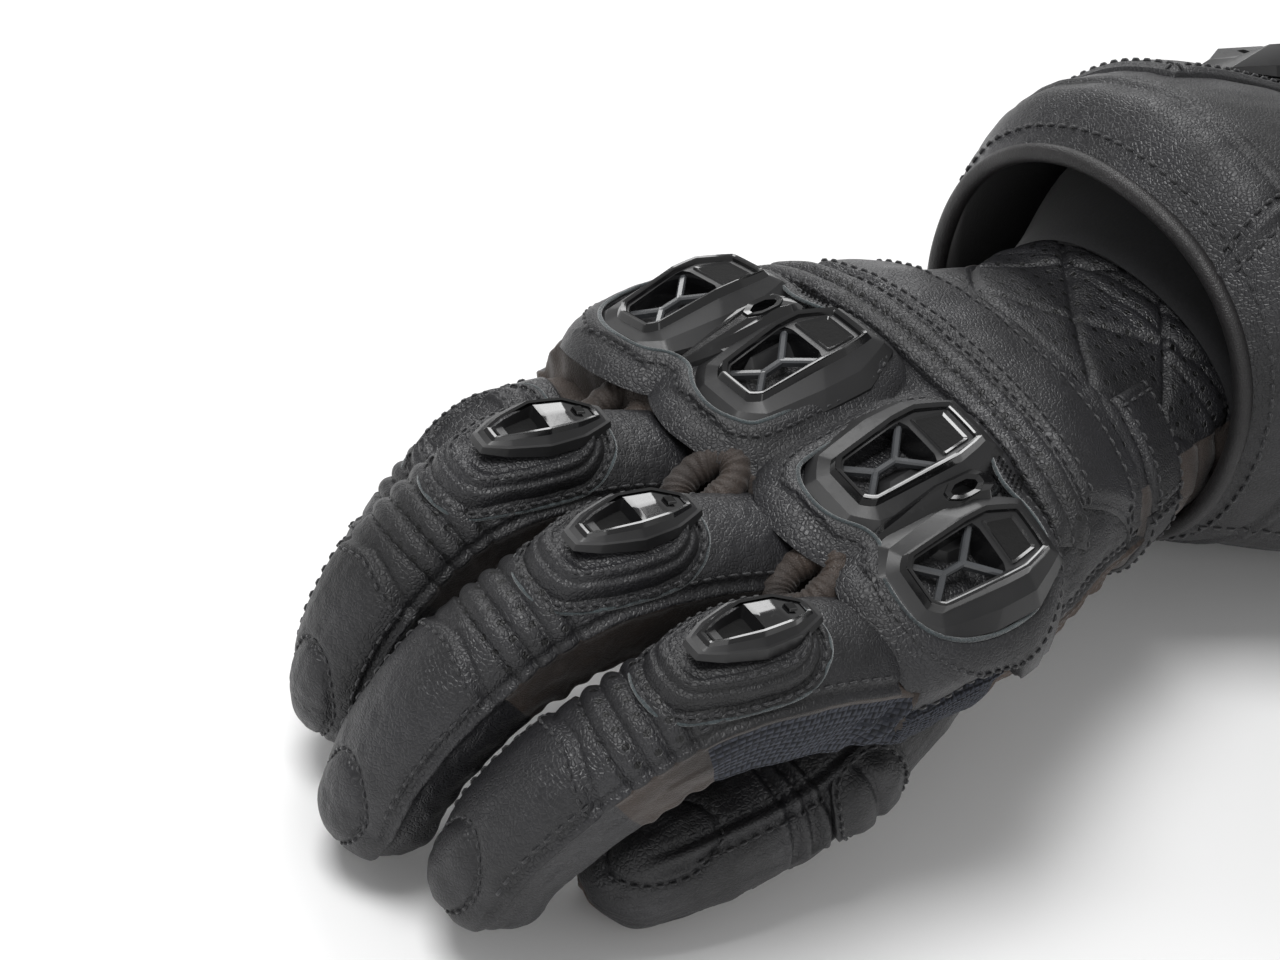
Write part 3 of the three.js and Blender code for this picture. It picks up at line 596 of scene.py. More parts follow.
# ---------------------------------------------------------------- surfaces that pieces follow
class Surface:
    """A tube-like skin: s runs along it in mm, t round it in radians, from the thumb side over the back."""

    def place(self, s: Grid, t: Grid) -> Grid:
        """Point of the bare skin."""
        raise NotImplementedError

    def core(self, s: Grid) -> Grid:
        """Point inside the skin at s."""
        raise NotImplementedError

    def radius(self, s: Grid, t: Grid) -> Grid:
        """Millimetres of skin to one radian of t."""
        gap = 0.004
        return np.linalg.norm(self.place(s, t + gap) - self.place(s, t - gap), axis=-1) / (2 * gap)

    def normal(self, s: Grid, t: Grid) -> Grid:
        """Outward direction: the cross product of the steps along and round the skin."""
        along = self.place(s + 0.08, t) - self.place(s - 0.08, t)
        round_ = self.place(s, t + 0.004) - self.place(s, t - 0.004)
        cross = unit(np.cross(along, round_))
        away = ((self.place(s, t) - self.core(s)) * cross).sum(-1, keepdims=True)
        return np.where(away < 0, -cross, cross)

    def lift(self, s: Grid, t: Grid, height: Grid | float) -> Grid:
        """Point at a height over the skin, along its outward direction."""
        s, t = np.broadcast_arrays(np.asarray(s, float), np.asarray(t, float))
        return self.place(s, t) + self.normal(s, t) * np.broadcast_to(height, s.shape)[..., None]


@dataclass
class Tube(Surface):
    """Skin through oval sections along Y; s is y.

    A section is k (a cos t, b sin t), with k = (|cos t|^n + |sin t|^n)^(-1/n), about its middle.
    """

    stations: Sequence[tuple[float, float, float, float, float, float]]
    """Rows of y, middle x, middle z, half width a, half height b, squareness n."""

    def _at(self, s: Grid) -> list[Grid]:
        """Middle x and z, a, b and n at s."""
        table = np.array(self.stations, float)
        return [smooth_table(table[:, 0], table[:, i], s) for i in range(1, 6)]

    def place(self, s: Grid, t: Grid) -> Grid:
        """Point of the bare skin."""
        s, t = np.broadcast_arrays(np.asarray(s, float), np.asarray(t, float))
        x, z, a, b, n = self._at(s)
        c, d = np.cos(t), np.sin(t)
        k = (np.abs(c) ** n + np.abs(d) ** n) ** (-1 / n)
        return np.stack([x + k * a * c, s, z + k * b * d], -1)

    def core(self, s: Grid) -> Grid:
        """Middle of the section at s."""
        s = np.asarray(s, float)
        x, z = self._at(s)[:2]
        return np.stack([x, s, z], -1)

    def over(self, x: Grid, y: Grid) -> Grid:
        """Angle t of the point of the back whose x is given, found by halving."""
        x, y = np.broadcast_arrays(np.asarray(x, float), np.asarray(y, float))
        low, high = np.full(x.shape, 0.02), np.full(x.shape, math.pi - 0.02)
        for _ in range(30):
            mid = (low + high) / 2
            right = self.place(y, mid)[..., 0] > x
            low, high = np.where(right, mid, low), np.where(right, high, mid)
        return (low + high) / 2


@dataclass
class Line(Surface):
    """Skin of a finger or the thumb round a curved middle line, closed by a round tip past its end.

    The middle line is a centripetal Catmull-Rom curve through its points.
    """

    path: Sequence[tuple[float, float, float]]
    wide: Sequence[float]
    thick: Sequence[float]
    square: float = 2.25
    length: float = field(init=False)

    def __post_init__(self) -> None:
        """Samples the curve, its length and its sizes."""
        p = np.array(self.path, float)
        steps = len(p) - 1
        ends = np.vstack([2 * p[0] - p[1], p, 2 * p[-1] - p[-2]])
        t = np.linspace(0, steps, 801)
        k = np.minimum(t.astype(int), steps - 1)
        f = (t - k)[:, None]
        gap = np.sqrt(np.linalg.norm(np.diff(ends, axis=0), axis=1))[:, None]
        p0, p1, p2, p3 = (ends[k + i] for i in range(4))
        d0, d1, d2 = gap[k], gap[k + 1], gap[k + 2]
        m1 = ((p1 - p0) / d0 - (p2 - p0) / (d0 + d1) + (p2 - p1) / d1) * d1
        m2 = ((p2 - p1) / d1 - (p3 - p1) / (d1 + d2) + (p3 - p2) / d2) * d1
        self._line = (p1 * (2 * f**3 - 3 * f**2 + 1) + m1 * (f**3 - 2 * f**2 + f)
                      + p2 * (3 * f**2 - 2 * f**3) + m2 * (f**3 - f**2))
        self._run = np.concatenate([[0], np.cumsum(np.linalg.norm(np.diff(self._line, axis=0), axis=1))])
        self.length = float(self._run[-1])
        self._ahead = unit(np.gradient(self._line, axis=0))
        self._wide = smooth_table(np.arange(steps + 1), self.wide, t)
        self._thick = smooth_table(np.arange(steps + 1), self.thick, t)
        self.across = unit(np.array([p[0][1] - p[-1][1], p[-1][0] - p[0][0], 0.0]))

    def _read(self, table: Grid, s: Grid) -> Grid:
        """A sampled table at lengths s, value by value."""
        if table.ndim == 1:
            return np.interp(s, self._run, table)
        return np.stack([np.interp(s, self._run, table[:, i]) for i in range(table.shape[1])], -1)

    def frame_at(self, s: Grid) -> tuple[Grid, Grid, Grid, Grid]:
        """Middle, direction ahead, side and back of the finger at s."""
        s = np.asarray(s, float)
        inner = np.clip(s, 0, self.length)
        ahead = unit(self._read(self._ahead, inner))
        middle = self._read(self._line, inner) + ahead * np.minimum(s, 0)[..., None]
        side = unit(self.across - (ahead @ self.across)[..., None] * ahead)
        return middle, ahead, side, np.cross(ahead, side)

    @property
    def end(self) -> float:
        """Value of s at the very tip."""
        return self.length + self.thick[-1] * 1.3

    def place(self, s: Grid, t: Grid) -> Grid:
        """Point of the bare skin; past the line's end the section shrinks as a cosine and moves as a sine."""
        s, t = np.broadcast_arrays(np.asarray(s, float), np.asarray(t, float))
        middle, ahead, side, back = self.frame_at(s)
        turn = np.clip((s - self.length) / (self.end - self.length), 0, 1) * math.pi / 2
        shrink = np.cos(turn)
        a, b = self._read(self._wide, s) * shrink, self._read(self._thick, s) * shrink
        c, d = np.cos(t), np.sin(t)
        k = (np.abs(c) ** self.square + np.abs(d) ** self.square) ** (-1 / self.square)
        reach = self.thick[-1] * np.sin(turn)
        return ((middle + ahead * reach[..., None] + side * (k * a * c)[..., None]
                 + back * (k * b * d)[..., None]))

    def core(self, s: Grid) -> Grid:
        """Middle of the section at s."""
        return self.frame_at(np.minimum(np.asarray(s, float), self.length - 0.5))[0]


def stitches(stock: Stock, line: Grid, off: Grid, pitch: float = 2.7, long: float = 1.9,
             thick: float = 0.34,
             finish: str = "thread", closed: bool = False) -> None:
    """Lays a row of lock stitches along a line: short capsules, each dipping at its ends.

    Args:
        stock: piece they are added to.
        line: n by 3 points in mm.
        off: n by 3 outward directions.
        pitch: distance from stitch to stitch.
        long: length of one stitch.
        thick: radius of the thread.
        finish: finish of the thread.
        closed: the line is a loop.
    """
    if closed:
        line, off = np.vstack([line, line[:1]]), np.vstack([off, off[:1]])
    run = np.concatenate([[0], np.cumsum(np.linalg.norm(np.diff(line, axis=0), axis=1))])
    count = max(int(run[-1] / pitch), 1)
    at = (np.arange(count) + 0.5) * run[-1] / count
    read = lambda table, s: np.stack([np.interp(s, run, table[:, i]) for i in range(3)], -1)
    ahead = unit(read(line, np.minimum(at + 0.4, run[-1])) - read(line, np.maximum(at - 0.4, 0)))
    up = unit(read(off, at))
    side = unit(np.cross(up, ahead))
    stops = np.array([-1.0, -0.86, -0.45, 0.45, 0.86, 1.0]) * long / 2
    size = np.array([0.15, 0.75, 1.0, 1.0, 0.75, 0.15]) * thick
    dip = np.array([-0.55, -0.22, 0.0, 0.0, -0.22, -0.55])
    turn = np.arange(6) / 6 * TAU
    local = (stops[:, None, None] * ahead[:, None, None, :]
             + size[:, None, None] * (np.cos(turn)[:, None] * side[:, None, None, :]
                                      + np.sin(turn)[:, None] * up[:, None, None, :])
             + (dip + thick * 0.35)[:, None, None] * up[:, None, None, :])
    points = (read(line, at)[:, None, None, :] + local).reshape(-1, 3)
    i, j = np.meshgrid(np.arange(5), np.arange(6), indexing="ij")
    k = (j + 1) % 6
    one = np.stack([i * 6 + j, i * 6 + k, (i + 1) * 6 + k, (i + 1) * 6 + j], -1).reshape(-1, 4)
    quads = (one[None] + (np.arange(count) * 36)[:, None, None]).reshape(-1, 4)
    stock.raw(points, quads, finish)


def cordon(stock: Stock, line: Grid, off: Grid, radius: float, finish: str, closed: bool = False,
           flat: float = 1.0,
           around: int = 10) -> None:
    """Carries a small oval section along a line, for piping, rolled seams and raw edges.

    Args:
        stock: piece it is added to.
        line: n by 3 points in mm.
        off: n by 3 outward directions.
        radius: half the section's width, in mm.
        finish: finish of the roll.
        closed: the line is a loop.
        flat: the section's height over its width.
        around: points round the section.
    """
    nxt, prev = np.roll(line, -1, 0), np.roll(line, 1, 0)
    if not closed:
        nxt[-1], prev[0] = line[-1], line[0]
    ahead, up = unit(nxt - prev), unit(off)
    side = unit(np.cross(up, ahead))
    up = np.cross(ahead, side)
    turn = np.arange(around) / around * TAU
    size = np.full(len(line), radius)
    if not closed:
        ends = np.minimum(np.arange(len(line)), np.arange(len(line))[::-1])
        size = size * np.clip(ends / 3 + 0.02, 0, 1) ** 0.5
    ring = (line[:, None] + size[:, None, None] * (np.cos(turn)[None, :, None] * side[:, None]
                                                   + flat * np.sin(turn)[None, :, None] * up[:, None]))
    if closed:
        ring = np.vstack([ring, ring[:1]])
    stock.grid(ring, finish, ring=True, outward=(ring - np.vstack([line, line[:1]])[:, None] if closed
                                                 else ring - line[:, None]))


@dataclass
class Patch:
    """A sewn-on shape on a skin, laid out in millimetres about a centre and filled by rings of its outline.

    A point of the patch is centre + r * outline(angle). Its width is divided by the skin's radius, which
    carries it onto the skin.
    """

    surface: Surface
    s: float
    t: float
    outline: Sequence[tuple[float, float]]
    """Corners in mm: first number round the skin towards its thumb side, second along s."""
    soften: int = 3
    around: int = 144

    def edge(self) -> Grid:
        """The outline with its corners cut round, resampled evenly from its first corner."""
        p = np.array(self.outline, float)
        for _ in range(self.soften):
            q = np.roll(p, -1, 0)
            p = np.stack([0.75 * p + 0.25 * q, 0.25 * p + 0.75 * q], 1).reshape(-1, 2)
        p = np.vstack([p, p[:1]])
        run = np.concatenate([[0], np.cumsum(np.linalg.norm(np.diff(p, axis=0), axis=1))])
        at = np.arange(self.around) / self.around * run[-1]
        return np.stack([np.interp(at, run, p[:, i]) for i in (0, 1)], -1)

    def carry(self, local: Grid, height: Grid | float) -> Grid:
        """Points on the skin for local millimetres, at a height over it."""
        s = self.s + local[..., 1]
        r = self.surface.radius(np.asarray(self.s, float), np.asarray(self.t, float))
        r = np.maximum(r, 3.0)
        return self.surface.lift(s, self.t - local[..., 0] / r, height)

    def loop(self, grow: float, height: float) -> tuple[Grid, Grid]:
        """A line round the patch, its outline moved out by grow mm, with its outward directions."""
        edge = self.edge()
        out = self._out(edge)
        local = edge + out * grow
        low, high = self.carry(local, height), self.carry(local, height + 1)
        return low, high - low

    def _out(self, edge: Grid) -> Grid:
        """Directions away from the outline, square to it."""
        ahead = np.roll(edge, -1, 0) - np.roll(edge, 1, 0)
        out = unit(np.stack([ahead[:, 1], -ahead[:, 0]], -1))
        return out * np.sign((out * (edge - edge.mean(0))).sum())

    def fill(self, stock: Stock, rings: int, height: Callable[[Grid, Grid], Grid], finish: str,
             wall: float = -1.2,
             grow: float = 0.0) -> None:
        """Adds the patch's top and its side wall.

        Args:
            stock: piece it is added to.
            rings: rings from the centre to the edge.
            height: height in mm from distance to the edge in mm and local points.
            finish: its finish.
            wall: how deep its side goes, in mm.
            grow: mm the outline is moved out.
        """
        edge = self.edge()
        edge = edge + self._out(edge) * grow
        middle = edge.mean(0)
        share = np.linspace(0, 1, rings) ** 0.8
        local = middle + share[:, None, None] * (edge - middle)
        span = np.linalg.norm(edge - middle, axis=1)
        ahead = unit(np.roll(edge, -1, 0) - np.roll(edge, 1, 0))
        square = np.abs((edge - middle)[:, 0] * ahead[:, 1] - (edge - middle)[:, 1] * ahead[:, 0])
        inset = (1 - share[:, None]) * np.minimum(square, span)[None]
        top = height(inset, local)
        points = self.carry(local, top)
        skirt = self.carry(np.broadcast_to(edge, (2, *edge.shape)),
                           np.stack([top[-1] - 0.35, np.full(len(edge), wall)]))
        uv = np.concatenate([local, np.broadcast_to(edge, (2, *edge.shape))])
        whole = np.concatenate([points, skirt])
        stock.grid(whole, finish, uv, ring=True, outward=self._away(whole))

    def _away(self, points: Grid) -> Grid:
        """Outward directions for a grid of the patch's points: the skin's at its centre."""
        return np.broadcast_to(self.surface.normal(np.asarray(self.s, float), np.asarray(self.t, float)),
                               points.shape)


# ---------------------------------------------------------------- the glove's own measures
HAND = Tube(((-12, 0, 45.5, 47.5, 15.5, 2.7), (5, -0.5, 46.5, 47.5, 17.5, 2.6), (25, -2, 47, 44.5, 20, 2.5),
             (45, -4, 45.5, 39.5, 21, 2.4), (60, -5, 43, 35.5, 20, 2.3), (76, -6, 42.5, 31.5, 18.8, 2.2),
             (92, -7, 43.5, 30, 18.5, 2.1)))
CUFF = Tube(((84, -9, 50.5, 38, 33.5, 2.2), (94, -8.5, 54, 44.5, 41, 2.1), (115, -5, 51, 49.5, 42.5, 2.15),
             (150, 3, 43.5, 53.5, 39.5, 2.2), (184, 10, 41, 56, 38.5, 2.25)))
LINING = Tube(((90, -6.8, 43.6, 31, 20, 2.1), (95, -6.5, 44.5, 33, 23, 2.1),
               (115, -5, 47, 43.5, 34.5, 2.15),
               (150, 3, 43.5, 51, 37, 2.2), (184, 10, 41, 53.6, 36.1, 2.25)))


@dataclass(frozen=True)
class FingerPlan:
    """One finger's line, its sizes and where its parts sit along it, in mm."""

    path: tuple[tuple[float, float, float], ...]
    wide: tuple[float, ...]
    thick: tuple[float, ...]
    knuckle: float
    ribs: float
    slider: float
    size: float = 1.0


PLANS = {
    "index": FingerPlan(((35.5, -13, 46.5), (34.5, -30, 50), (33, -46, 49.5), (29.5, -60, 40),
                         (25.5, -68, 27), (23.5, -70.5, 17)),
                        (11.4, 11.4, 10.6, 10.2, 9.8, 9.2), (11.4, 11.4, 10.2, 9.7, 9.2, 8.6), 42.5, 10,
                        26.5),
    "middle": FingerPlan(((11, -13, 48.5), (8.5, -32, 52), (6.5, -50, 51), (4, -65, 40), (2, -73, 26),
                          (1, -75, 15)),
                         (11.4, 11.4, 10.8, 10.4, 10, 9.4), (11.4, 11.4, 10.4, 9.9, 9.3, 8.7), 46, 10,
                         29.5),
    "ring": FingerPlan(((-13.5, -13, 47.5), (-17, -31, 50.5), (-19.5, -48, 49.5), (-20.5, -60.5, 39),
                        (-20.5, -66, 26), (-20, -66.5, 18)),
                       (11.2, 11.2, 10.6, 10.2, 9.6, 9), (11.2, 11.2, 10.2, 9.6, 9, 8.4), 43.5, 10, 27.5),
    "pinky": FingerPlan(((-36, -13, 41.5), (-38.5, -22, 39), (-40.5, -33, 31.5), (-40.5, -41, 21),
                         (-39.2, -44.5, 10.3)),
                        (9.8, 9.9, 9.6, 9.2, 8.4), (9.8, 9.8, 9.4, 9, 8.2), 26.5, 9, 15, 0.84),
}
THUMB = Line(((26, 12, 36), (31.5, -4, 28.2), (34, -20, 21.6), (33.5, -36, 18), (31.5, -47, 15)),
             (14, 13, 11.8, 11, 10), (13, 11.2, 10.2, 10.2, 9.6))
THUMB_BEND = (36.0, 43.0)


def padded_piece(made: bpy.types.Object, body: str, nodes: Sequence[str]) -> bpy.types.Object:
    """Fixes a pad to its body in place of its CAD nodes."""
    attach(made, body)
    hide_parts(*nodes)
    return made


def moulded(name: str, nodes: Sequence[str], body: str, skin: str, edge: str, bevel_mm: float = 0.45,
            limit: float = 24.0) -> bpy.types.Object:
    """A hard moulding: a copy of CAD nodes with its flats joined and its edges rounded and polished.

    Args:
        name: the piece's name.
        nodes: the CAD nodes it stands for.
        body: the CAD body it rides on.
        skin: finish of its faces.
        edge: finish of its rounded edges.
        bevel_mm: width of the rounding.
        limit: angle in degrees past which an edge is rounded.

    Returns:
        The piece.
    """
    work = bmesh.new()
    for cad in nodes:
        part = bpy.data.objects[cad].data.copy()
        part.transform(bpy.data.objects[cad].matrix_world)
        work.from_mesh(part)
    bmesh.ops.remove_doubles(work, verts=work.verts, dist=2e-6)
    bmesh.ops.dissolve_limit(work, angle_limit=math.radians(2.0), verts=work.verts, edges=work.edges)
    bmesh.ops.recalc_face_normals(work, faces=work.faces)
    mesh = bpy.data.meshes.new(name)
    work.to_mesh(mesh)
    work.free()
    made = bpy.data.objects.new(name, mesh)
    bpy.context.scene.collection.objects.link(made)
    for finish in (skin, edge):
        mesh.materials.append(WARDROBE.get(finish))
    mesh.polygons.foreach_set("material_index", np.zeros(len(mesh.polygons), np.int32))
    rounding = made.modifiers.new("rounding", "BEVEL")
    rounding.width = bevel_mm * MM
    rounding.segments = 3
    rounding.limit_method = "ANGLE"
    rounding.angle_limit = math.radians(limit)
    rounding.material = 1
    rounding.use_clamp_overlap = True
    rounding.harden_normals = True
    mesh.polygons.foreach_set("use_smooth", np.full(len(mesh.polygons), True))
    mesh.set_sharp_from_angle(angle=math.radians(30))
    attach(made, body)
    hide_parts(*nodes)
    return made


@dataclass(frozen=True)
class Place:
    """Where a hard part sits: a point and three directions, x across, y towards the wrist, z off the skin."""

    origin: Grid
    across: Grid
    along: Grid
    off: Grid

    def carry(self, local: Grid) -> Grid:
        """Local millimetres to the pattern frame."""
        return ((self.origin + local[..., :1] * self.across + local[..., 1:2] * self.along
                 + local[..., 2:] * self.off))


def facet_ring(half: Sequence[tuple[float, ...]], per_edge: int = 12, cut: float = 0.05) -> Grid:
    """A loop from half an outline, mirrored in x, with its corners cut twice and each edge divided evenly.

    Args:
        half: x, y and z from front to rear, x positive.
        per_edge: points for each edge of the outline, a quarter on each of the pieces the cuts leave.
        cut: share of an edge that a corner takes.

    Returns:
        Rows of x, y and z; loops from halves of one length match point for point.
    """
    right = np.array(half, float)
    left = right[::-1] * (-1, 1, 1)
    p = np.vstack([right, left])
    for share in (cut, 0.3):
        q = np.roll(p, -1, 0)
        p = np.stack([(1 - share) * p + share * q, share * p + (1 - share) * q], 1).reshape(-1, 3)
    q = np.roll(p, -1, 0)
    few = max(per_edge // 4, 2)
    k = (np.arange(few) / few)[None, :, None]
    return (p[:, None] * (1 - k) + q[:, None] * k).reshape(-1, 3)


def loft(stock: Stock, place: Place, rings: Sequence[Grid], finishes: Sequence[str]) -> None:
    """Joins loops in turn, each pair in its own finish.

    Args:
        stock: piece it is added to.
        place: where it sits.
        rings: loops of local x, y and z.
        finishes: finish between each loop and the next.
    """
    for low, high, finish in zip(rings, rings[1:], finishes):
        pair = np.stack([low, high])
        middle = np.array([0.0, float(low[:, 1].mean()), min(low[:, 2].min(), high[:, 2].min()) - 6.0])
        grown = np.linalg.norm(high[:, :2], axis=1).mean() < np.linalg.norm(low[:, :2], axis=1).mean()
        drop = float((high[:, 2] - low[:, 2]).mean())
        inward = grown and drop < -0.5
        points = place.carry(pair)
        if inward:
            axis = place.carry(np.stack([np.zeros_like(pair[..., 0]), pair[..., 1] * 0.6, pair[..., 2]
                                         + 3.0], -1))
            stock.grid(points, finish, ring=True, outward=axis - points)
        else:
            stock.grid(points, finish, ring=True, outward=points - place.carry(middle))


def flatten(half: Sequence[tuple[float, ...]], high: float) -> list[tuple[float, float, float]]:
    """Half an outline at one height."""
    return [(h[0], h[1], high) for h in half]


# ---------------------------------------------------------------- fingers
@dataclass
class Finger:
    """A finger: soft sides, a raised back panel with an accordion, a slider on a pad, and a stitched tip."""

    name: str
    plan: FingerPlan
    seam: float = math.radians(24)
    """How far round from the side the back panel's seam runs."""

    def __post_init__(self) -> None:
        """Makes the line that all its pieces follow."""
        self.line = Line(self.plan.path, self.plan.wide, self.plan.thick)
        self.split = self.plan.slider
        self.ribs = (self.plan.knuckle - self.plan.ribs / 2, self.plan.knuckle + self.plan.ribs / 2)
        self.tip = self.line.length + 1.0
        self.seed = 10 * (1 + FINGER_NAMES.index(self.name))

    def relief(self, s: Grid, t: Grid) -> Grid:
        """Height over the bare skin: seams, ribs, gathers, padding and folds, summed."""
        r = 10.5
        t = np.mod(t, TAU)
        back = inside(t, self.seam, math.pi - self.seam, 0.09)
        from_seam = np.minimum(np.abs(t - self.seam), np.abs(t - (math.pi - self.seam))) * r
        low_seam = np.minimum(np.abs(t - (TAU - 0.55)), np.abs(t - (math.pi + 0.55))) * r
        start, end = self.ribs
        rib_zone = inside(s, start - 0.4, end + 0.4, 0.8)
        wave = np.abs(np.sin(math.pi * 3 * (s - start) / (end - start)))
        ribs = back * rib_zone * (1.25 * wave ** 0.6 - 0.85)
        under = 1 - back
        below = inside(t, math.pi + 0.5, TAU - 0.5, 0.5)
        folds = (below * inside(s, start - 2, end + 2, 4) * 0.4
                 * np.sin(math.pi * 4 * (s - start) / (end - start)))
        gather = (1 - step(s, 5, 12)) * under * 0.55 * ripple(s * 1.0, t * r * 0.5, 4.2, self.seed + 1)
        panel = 0.55 * back * step(s, 2.5, 3.4)
        roll = (0.75 * bump(from_seam, 0.75) * (1 - 0.5 * rib_zone)
                - 0.45 * bump(from_seam - 1.5, 0.55) * (t > self.seam) * (t < math.pi - self.seam))
        roll = roll * (1 - step(s, self.line.length - 2, self.line.length + 4))
        lower = 0.5 * bump(low_seam, 0.7) * (1 - step(s, self.line.length, self.line.length + 5))
        cap_line = end + 3.2 + 3.0 * np.abs(np.sin(t - math.pi / 2)) ** 1.4 * back
        cap = (back * (0.5 * step(s, cap_line - 0.35, cap_line + 0.35)
                       - 0.45 * bump(s - cap_line + 0.9, 0.5)))
        u, v = (t - math.pi / 2) * r / 6.6, (s - self.line.length + 1.2) / 7.6
        nail = np.sqrt(u * u + v * v)
        pillow = np.where(nail < 1, 1.15 * (1 - nail ** 2.4), 0) - 0.55 * bump((nail - 1.04) * 6.6, 0.6)
        pillow = pillow * (np.abs(t - math.pi / 2) < 1.3)
        soft = (0.16 * ripple(s, t * r, 9.0, self.seed + 2) * (0.4 + 0.9 * under)
                + 0.07 * ripple(s, t * r, 3.6, self.seed + 3))
        fade = 1 - step(s, self.line.end - 3.0, self.line.end)
        return (ribs + folds + gather + panel + roll + lower + cap + pillow + soft) * fade

    def skin(self, name: str, low: float, high: float, rows: int) -> Stock:
        """A stretch of the finger's skin, soft at the sides and grained on its back.

        Args:
            name: the piece's name.
            low: where it starts along the finger.
            high: where it ends.
            rows: rows of faces along it.

        Returns:
            The stock it is in.
        """
        stock = Stock(name)
        s = np.linspace(low, high, rows + 1)[:, None]
        t = (np.arange(144) / 144 * TAU)[None]
        s, t = np.broadcast_arrays(s, t)
        points = self.line.lift(s, t, self.relief(s, t))
        uv = np.stack([(t - math.pi / 2) * 10.5, s], -1)
        mid_s, mid_t = (s[:-1] + s[1:]) / 2, t[:-1] + math.pi / 144
        back = (mid_t > self.seam) & (mid_t < math.pi - self.seam) & (mid_s > 3.0)
        start, end = self.ribs
        punched = (back & (mid_s > start - 0.3) & (mid_s < end + 0.3) & (mid_t > self.seam + 0.14)
                   & (mid_t < math.pi - self.seam - 0.14))
        tip = mid_s > end + 3.0
        kind = np.where(punched, 2, np.where(back | tip, 1, 0))
        if self.name == "index":
            woven = ((mid_t > TAU - 0.75) | (mid_t < self.seam - 0.08)) & (mid_s < start - 1)
            kind = np.where(woven, 3, kind)
        away = points - self.line.core(s)
        stock.grid(points, "soft", uv, ring=True, outward=away, finish_of=kind,
                   others=("grain", "perforated", "textile"))
        return stock

    def seam_rows(self, stock: Stock, low: float, high: float) -> None:
        """Stitches beside both back seams from low to high."""
        s = np.linspace(low, high, 60)
        for t in (self.seam + 0.24, math.pi - self.seam - 0.24):
            lift = self.relief(s, np.full_like(s, t)) + 0.12
            line = self.line.lift(s, t, lift)
            stitches(stock, line, self.line.normal(s, np.full_like(s, t)), pitch=2.5, long=1.7, thick=0.27)

    def rib_rows(self, stock: Stock) -> None:
        """Stitches in the accordion's grooves."""
        start, end = self.ribs
        for k in range(4):
            s0 = start + (end - start) * k / 3
            t = np.linspace(self.seam + 0.2, math.pi - self.seam - 0.2, 40)
            s = np.full_like(t, s0)
            line = self.line.lift(s, t, self.relief(s, t) + 0.1)
            stitches(stock, line, self.line.normal(s, t), pitch=2.1, long=1.45, thick=0.24)

    def nail_row(self, stock: Stock) -> None:
        """Stitches round the padded oval over the nail, and along the tip's curved seam."""
        a = np.linspace(0, TAU, 90)[:-1]
        s = self.line.length - 1.2 + 8.2 * np.sin(a)
        t = math.pi / 2 + 7.2 / 10.5 * np.cos(a)
        line = self.line.lift(s, t, self.relief(s, t) + 0.12)
        stitches(stock, line, self.line.normal(s, t), pitch=2.0, long=1.4, thick=0.25, closed=True)
        t = np.linspace(self.seam + 0.1, math.pi - self.seam - 0.1, 50)
        s = self.ribs[1] + 4.1 + 3.0 * np.abs(np.sin(t - math.pi / 2)) ** 1.4
        line = self.line.lift(s, t, self.relief(s, t) + 0.12)
        stitches(stock, line, self.line.normal(s, t), pitch=2.1, long=1.45, thick=0.25)

    def pad_patch(self) -> Patch:
        """The shape of the raised pad under the slider."""
        k = self.plan.size
        half = ((5.0, -11.5), (10.0, -6), (11.0, 1), (10.0, 8), (6, 14))
        ring = [(x * k, y * k) for x, y in half] + [(-x * k, y * k) for x, y in reversed(half)]
        return Patch(self.line, self.plan.slider, math.pi / 2, ring)

    def build(self) -> None:
        """Makes every piece of the finger, and fixes its pad and slider to the finger's base."""
        name, base, end = self.name, f"{self.name}_base", f"{self.name}_end"
        rear = self.skin(f"{name}_finger_rear", -6.0, self.split, 110)
        self.seam_rows(rear, 5, self.split)
        made = rear.build()
        near, far = (Vector(to_row(self.line.core(np.array(s)))) for s in (-1.5, 8.5))
        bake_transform(made)
        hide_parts(f"{name}_root_gusset", f"{name}_sleeve")
        if name == "index":
            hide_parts("stretch_panel")
        front = self.skin(f"{name}_finger_front", self.split, self.line.end, 230)
        self.seam_rows(front, self.split, self.ribs[0] - 0.5)
        self.seam_rows(front, self.ribs[1] + 5, self.line.length - 5)
        self.rib_rows(front)
        self.nail_row(front)
        made = front.build()
        near, far = (Vector(to_row(self.line.core(np.array(s)))) for s in self.ribs)
        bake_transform(made)
        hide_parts(f"{name}_accordion", f"{name}_fingertip")
        self.pad()
        log.info("%s finger built", name)

    def pad(self) -> None:
        """The pad: a flat base with a raw cut edge, a stuffed ring sewn on it, and two rows of stitches."""
        name = self.name
        patch = self.pad_patch()
        stock = Stock(f"{name}_slider_pad")
        patch.fill(stock, 44, lambda inset, at: 0.75 + 1.75 * step(inset, 1.3, 3.4)
                   - 0.45 * bump(inset - 1.3, 0.45)
                   + 0.75 * step(inset, 3.6, 4.4) * (1 - step(inset, 5.2, 5.5))
                   - 0.35 * bump(inset - 3.6, 0.4)
                   + 0.10 * ripple(at[..., 0], at[..., 1], 5.0, self.seed + 5), "grain", wall=-0.4)
        line, off = patch.loop(0.05, 0.5)
        cordon(stock, line, off, 0.36, "raw", closed=True, flat=0.8)
        for grow, high in ((-0.85, 0.95), (-4.5, 3.25)):
            line, off = patch.loop(grow, high)
            stitches(stock, line, off, pitch=2.0, long=1.4, thick=0.25, closed=True)
        made = stock.build()
        padded_piece(made, f"{name}_base", (f"{name}_pad",))
        if name != "pinky":
            self.slider()

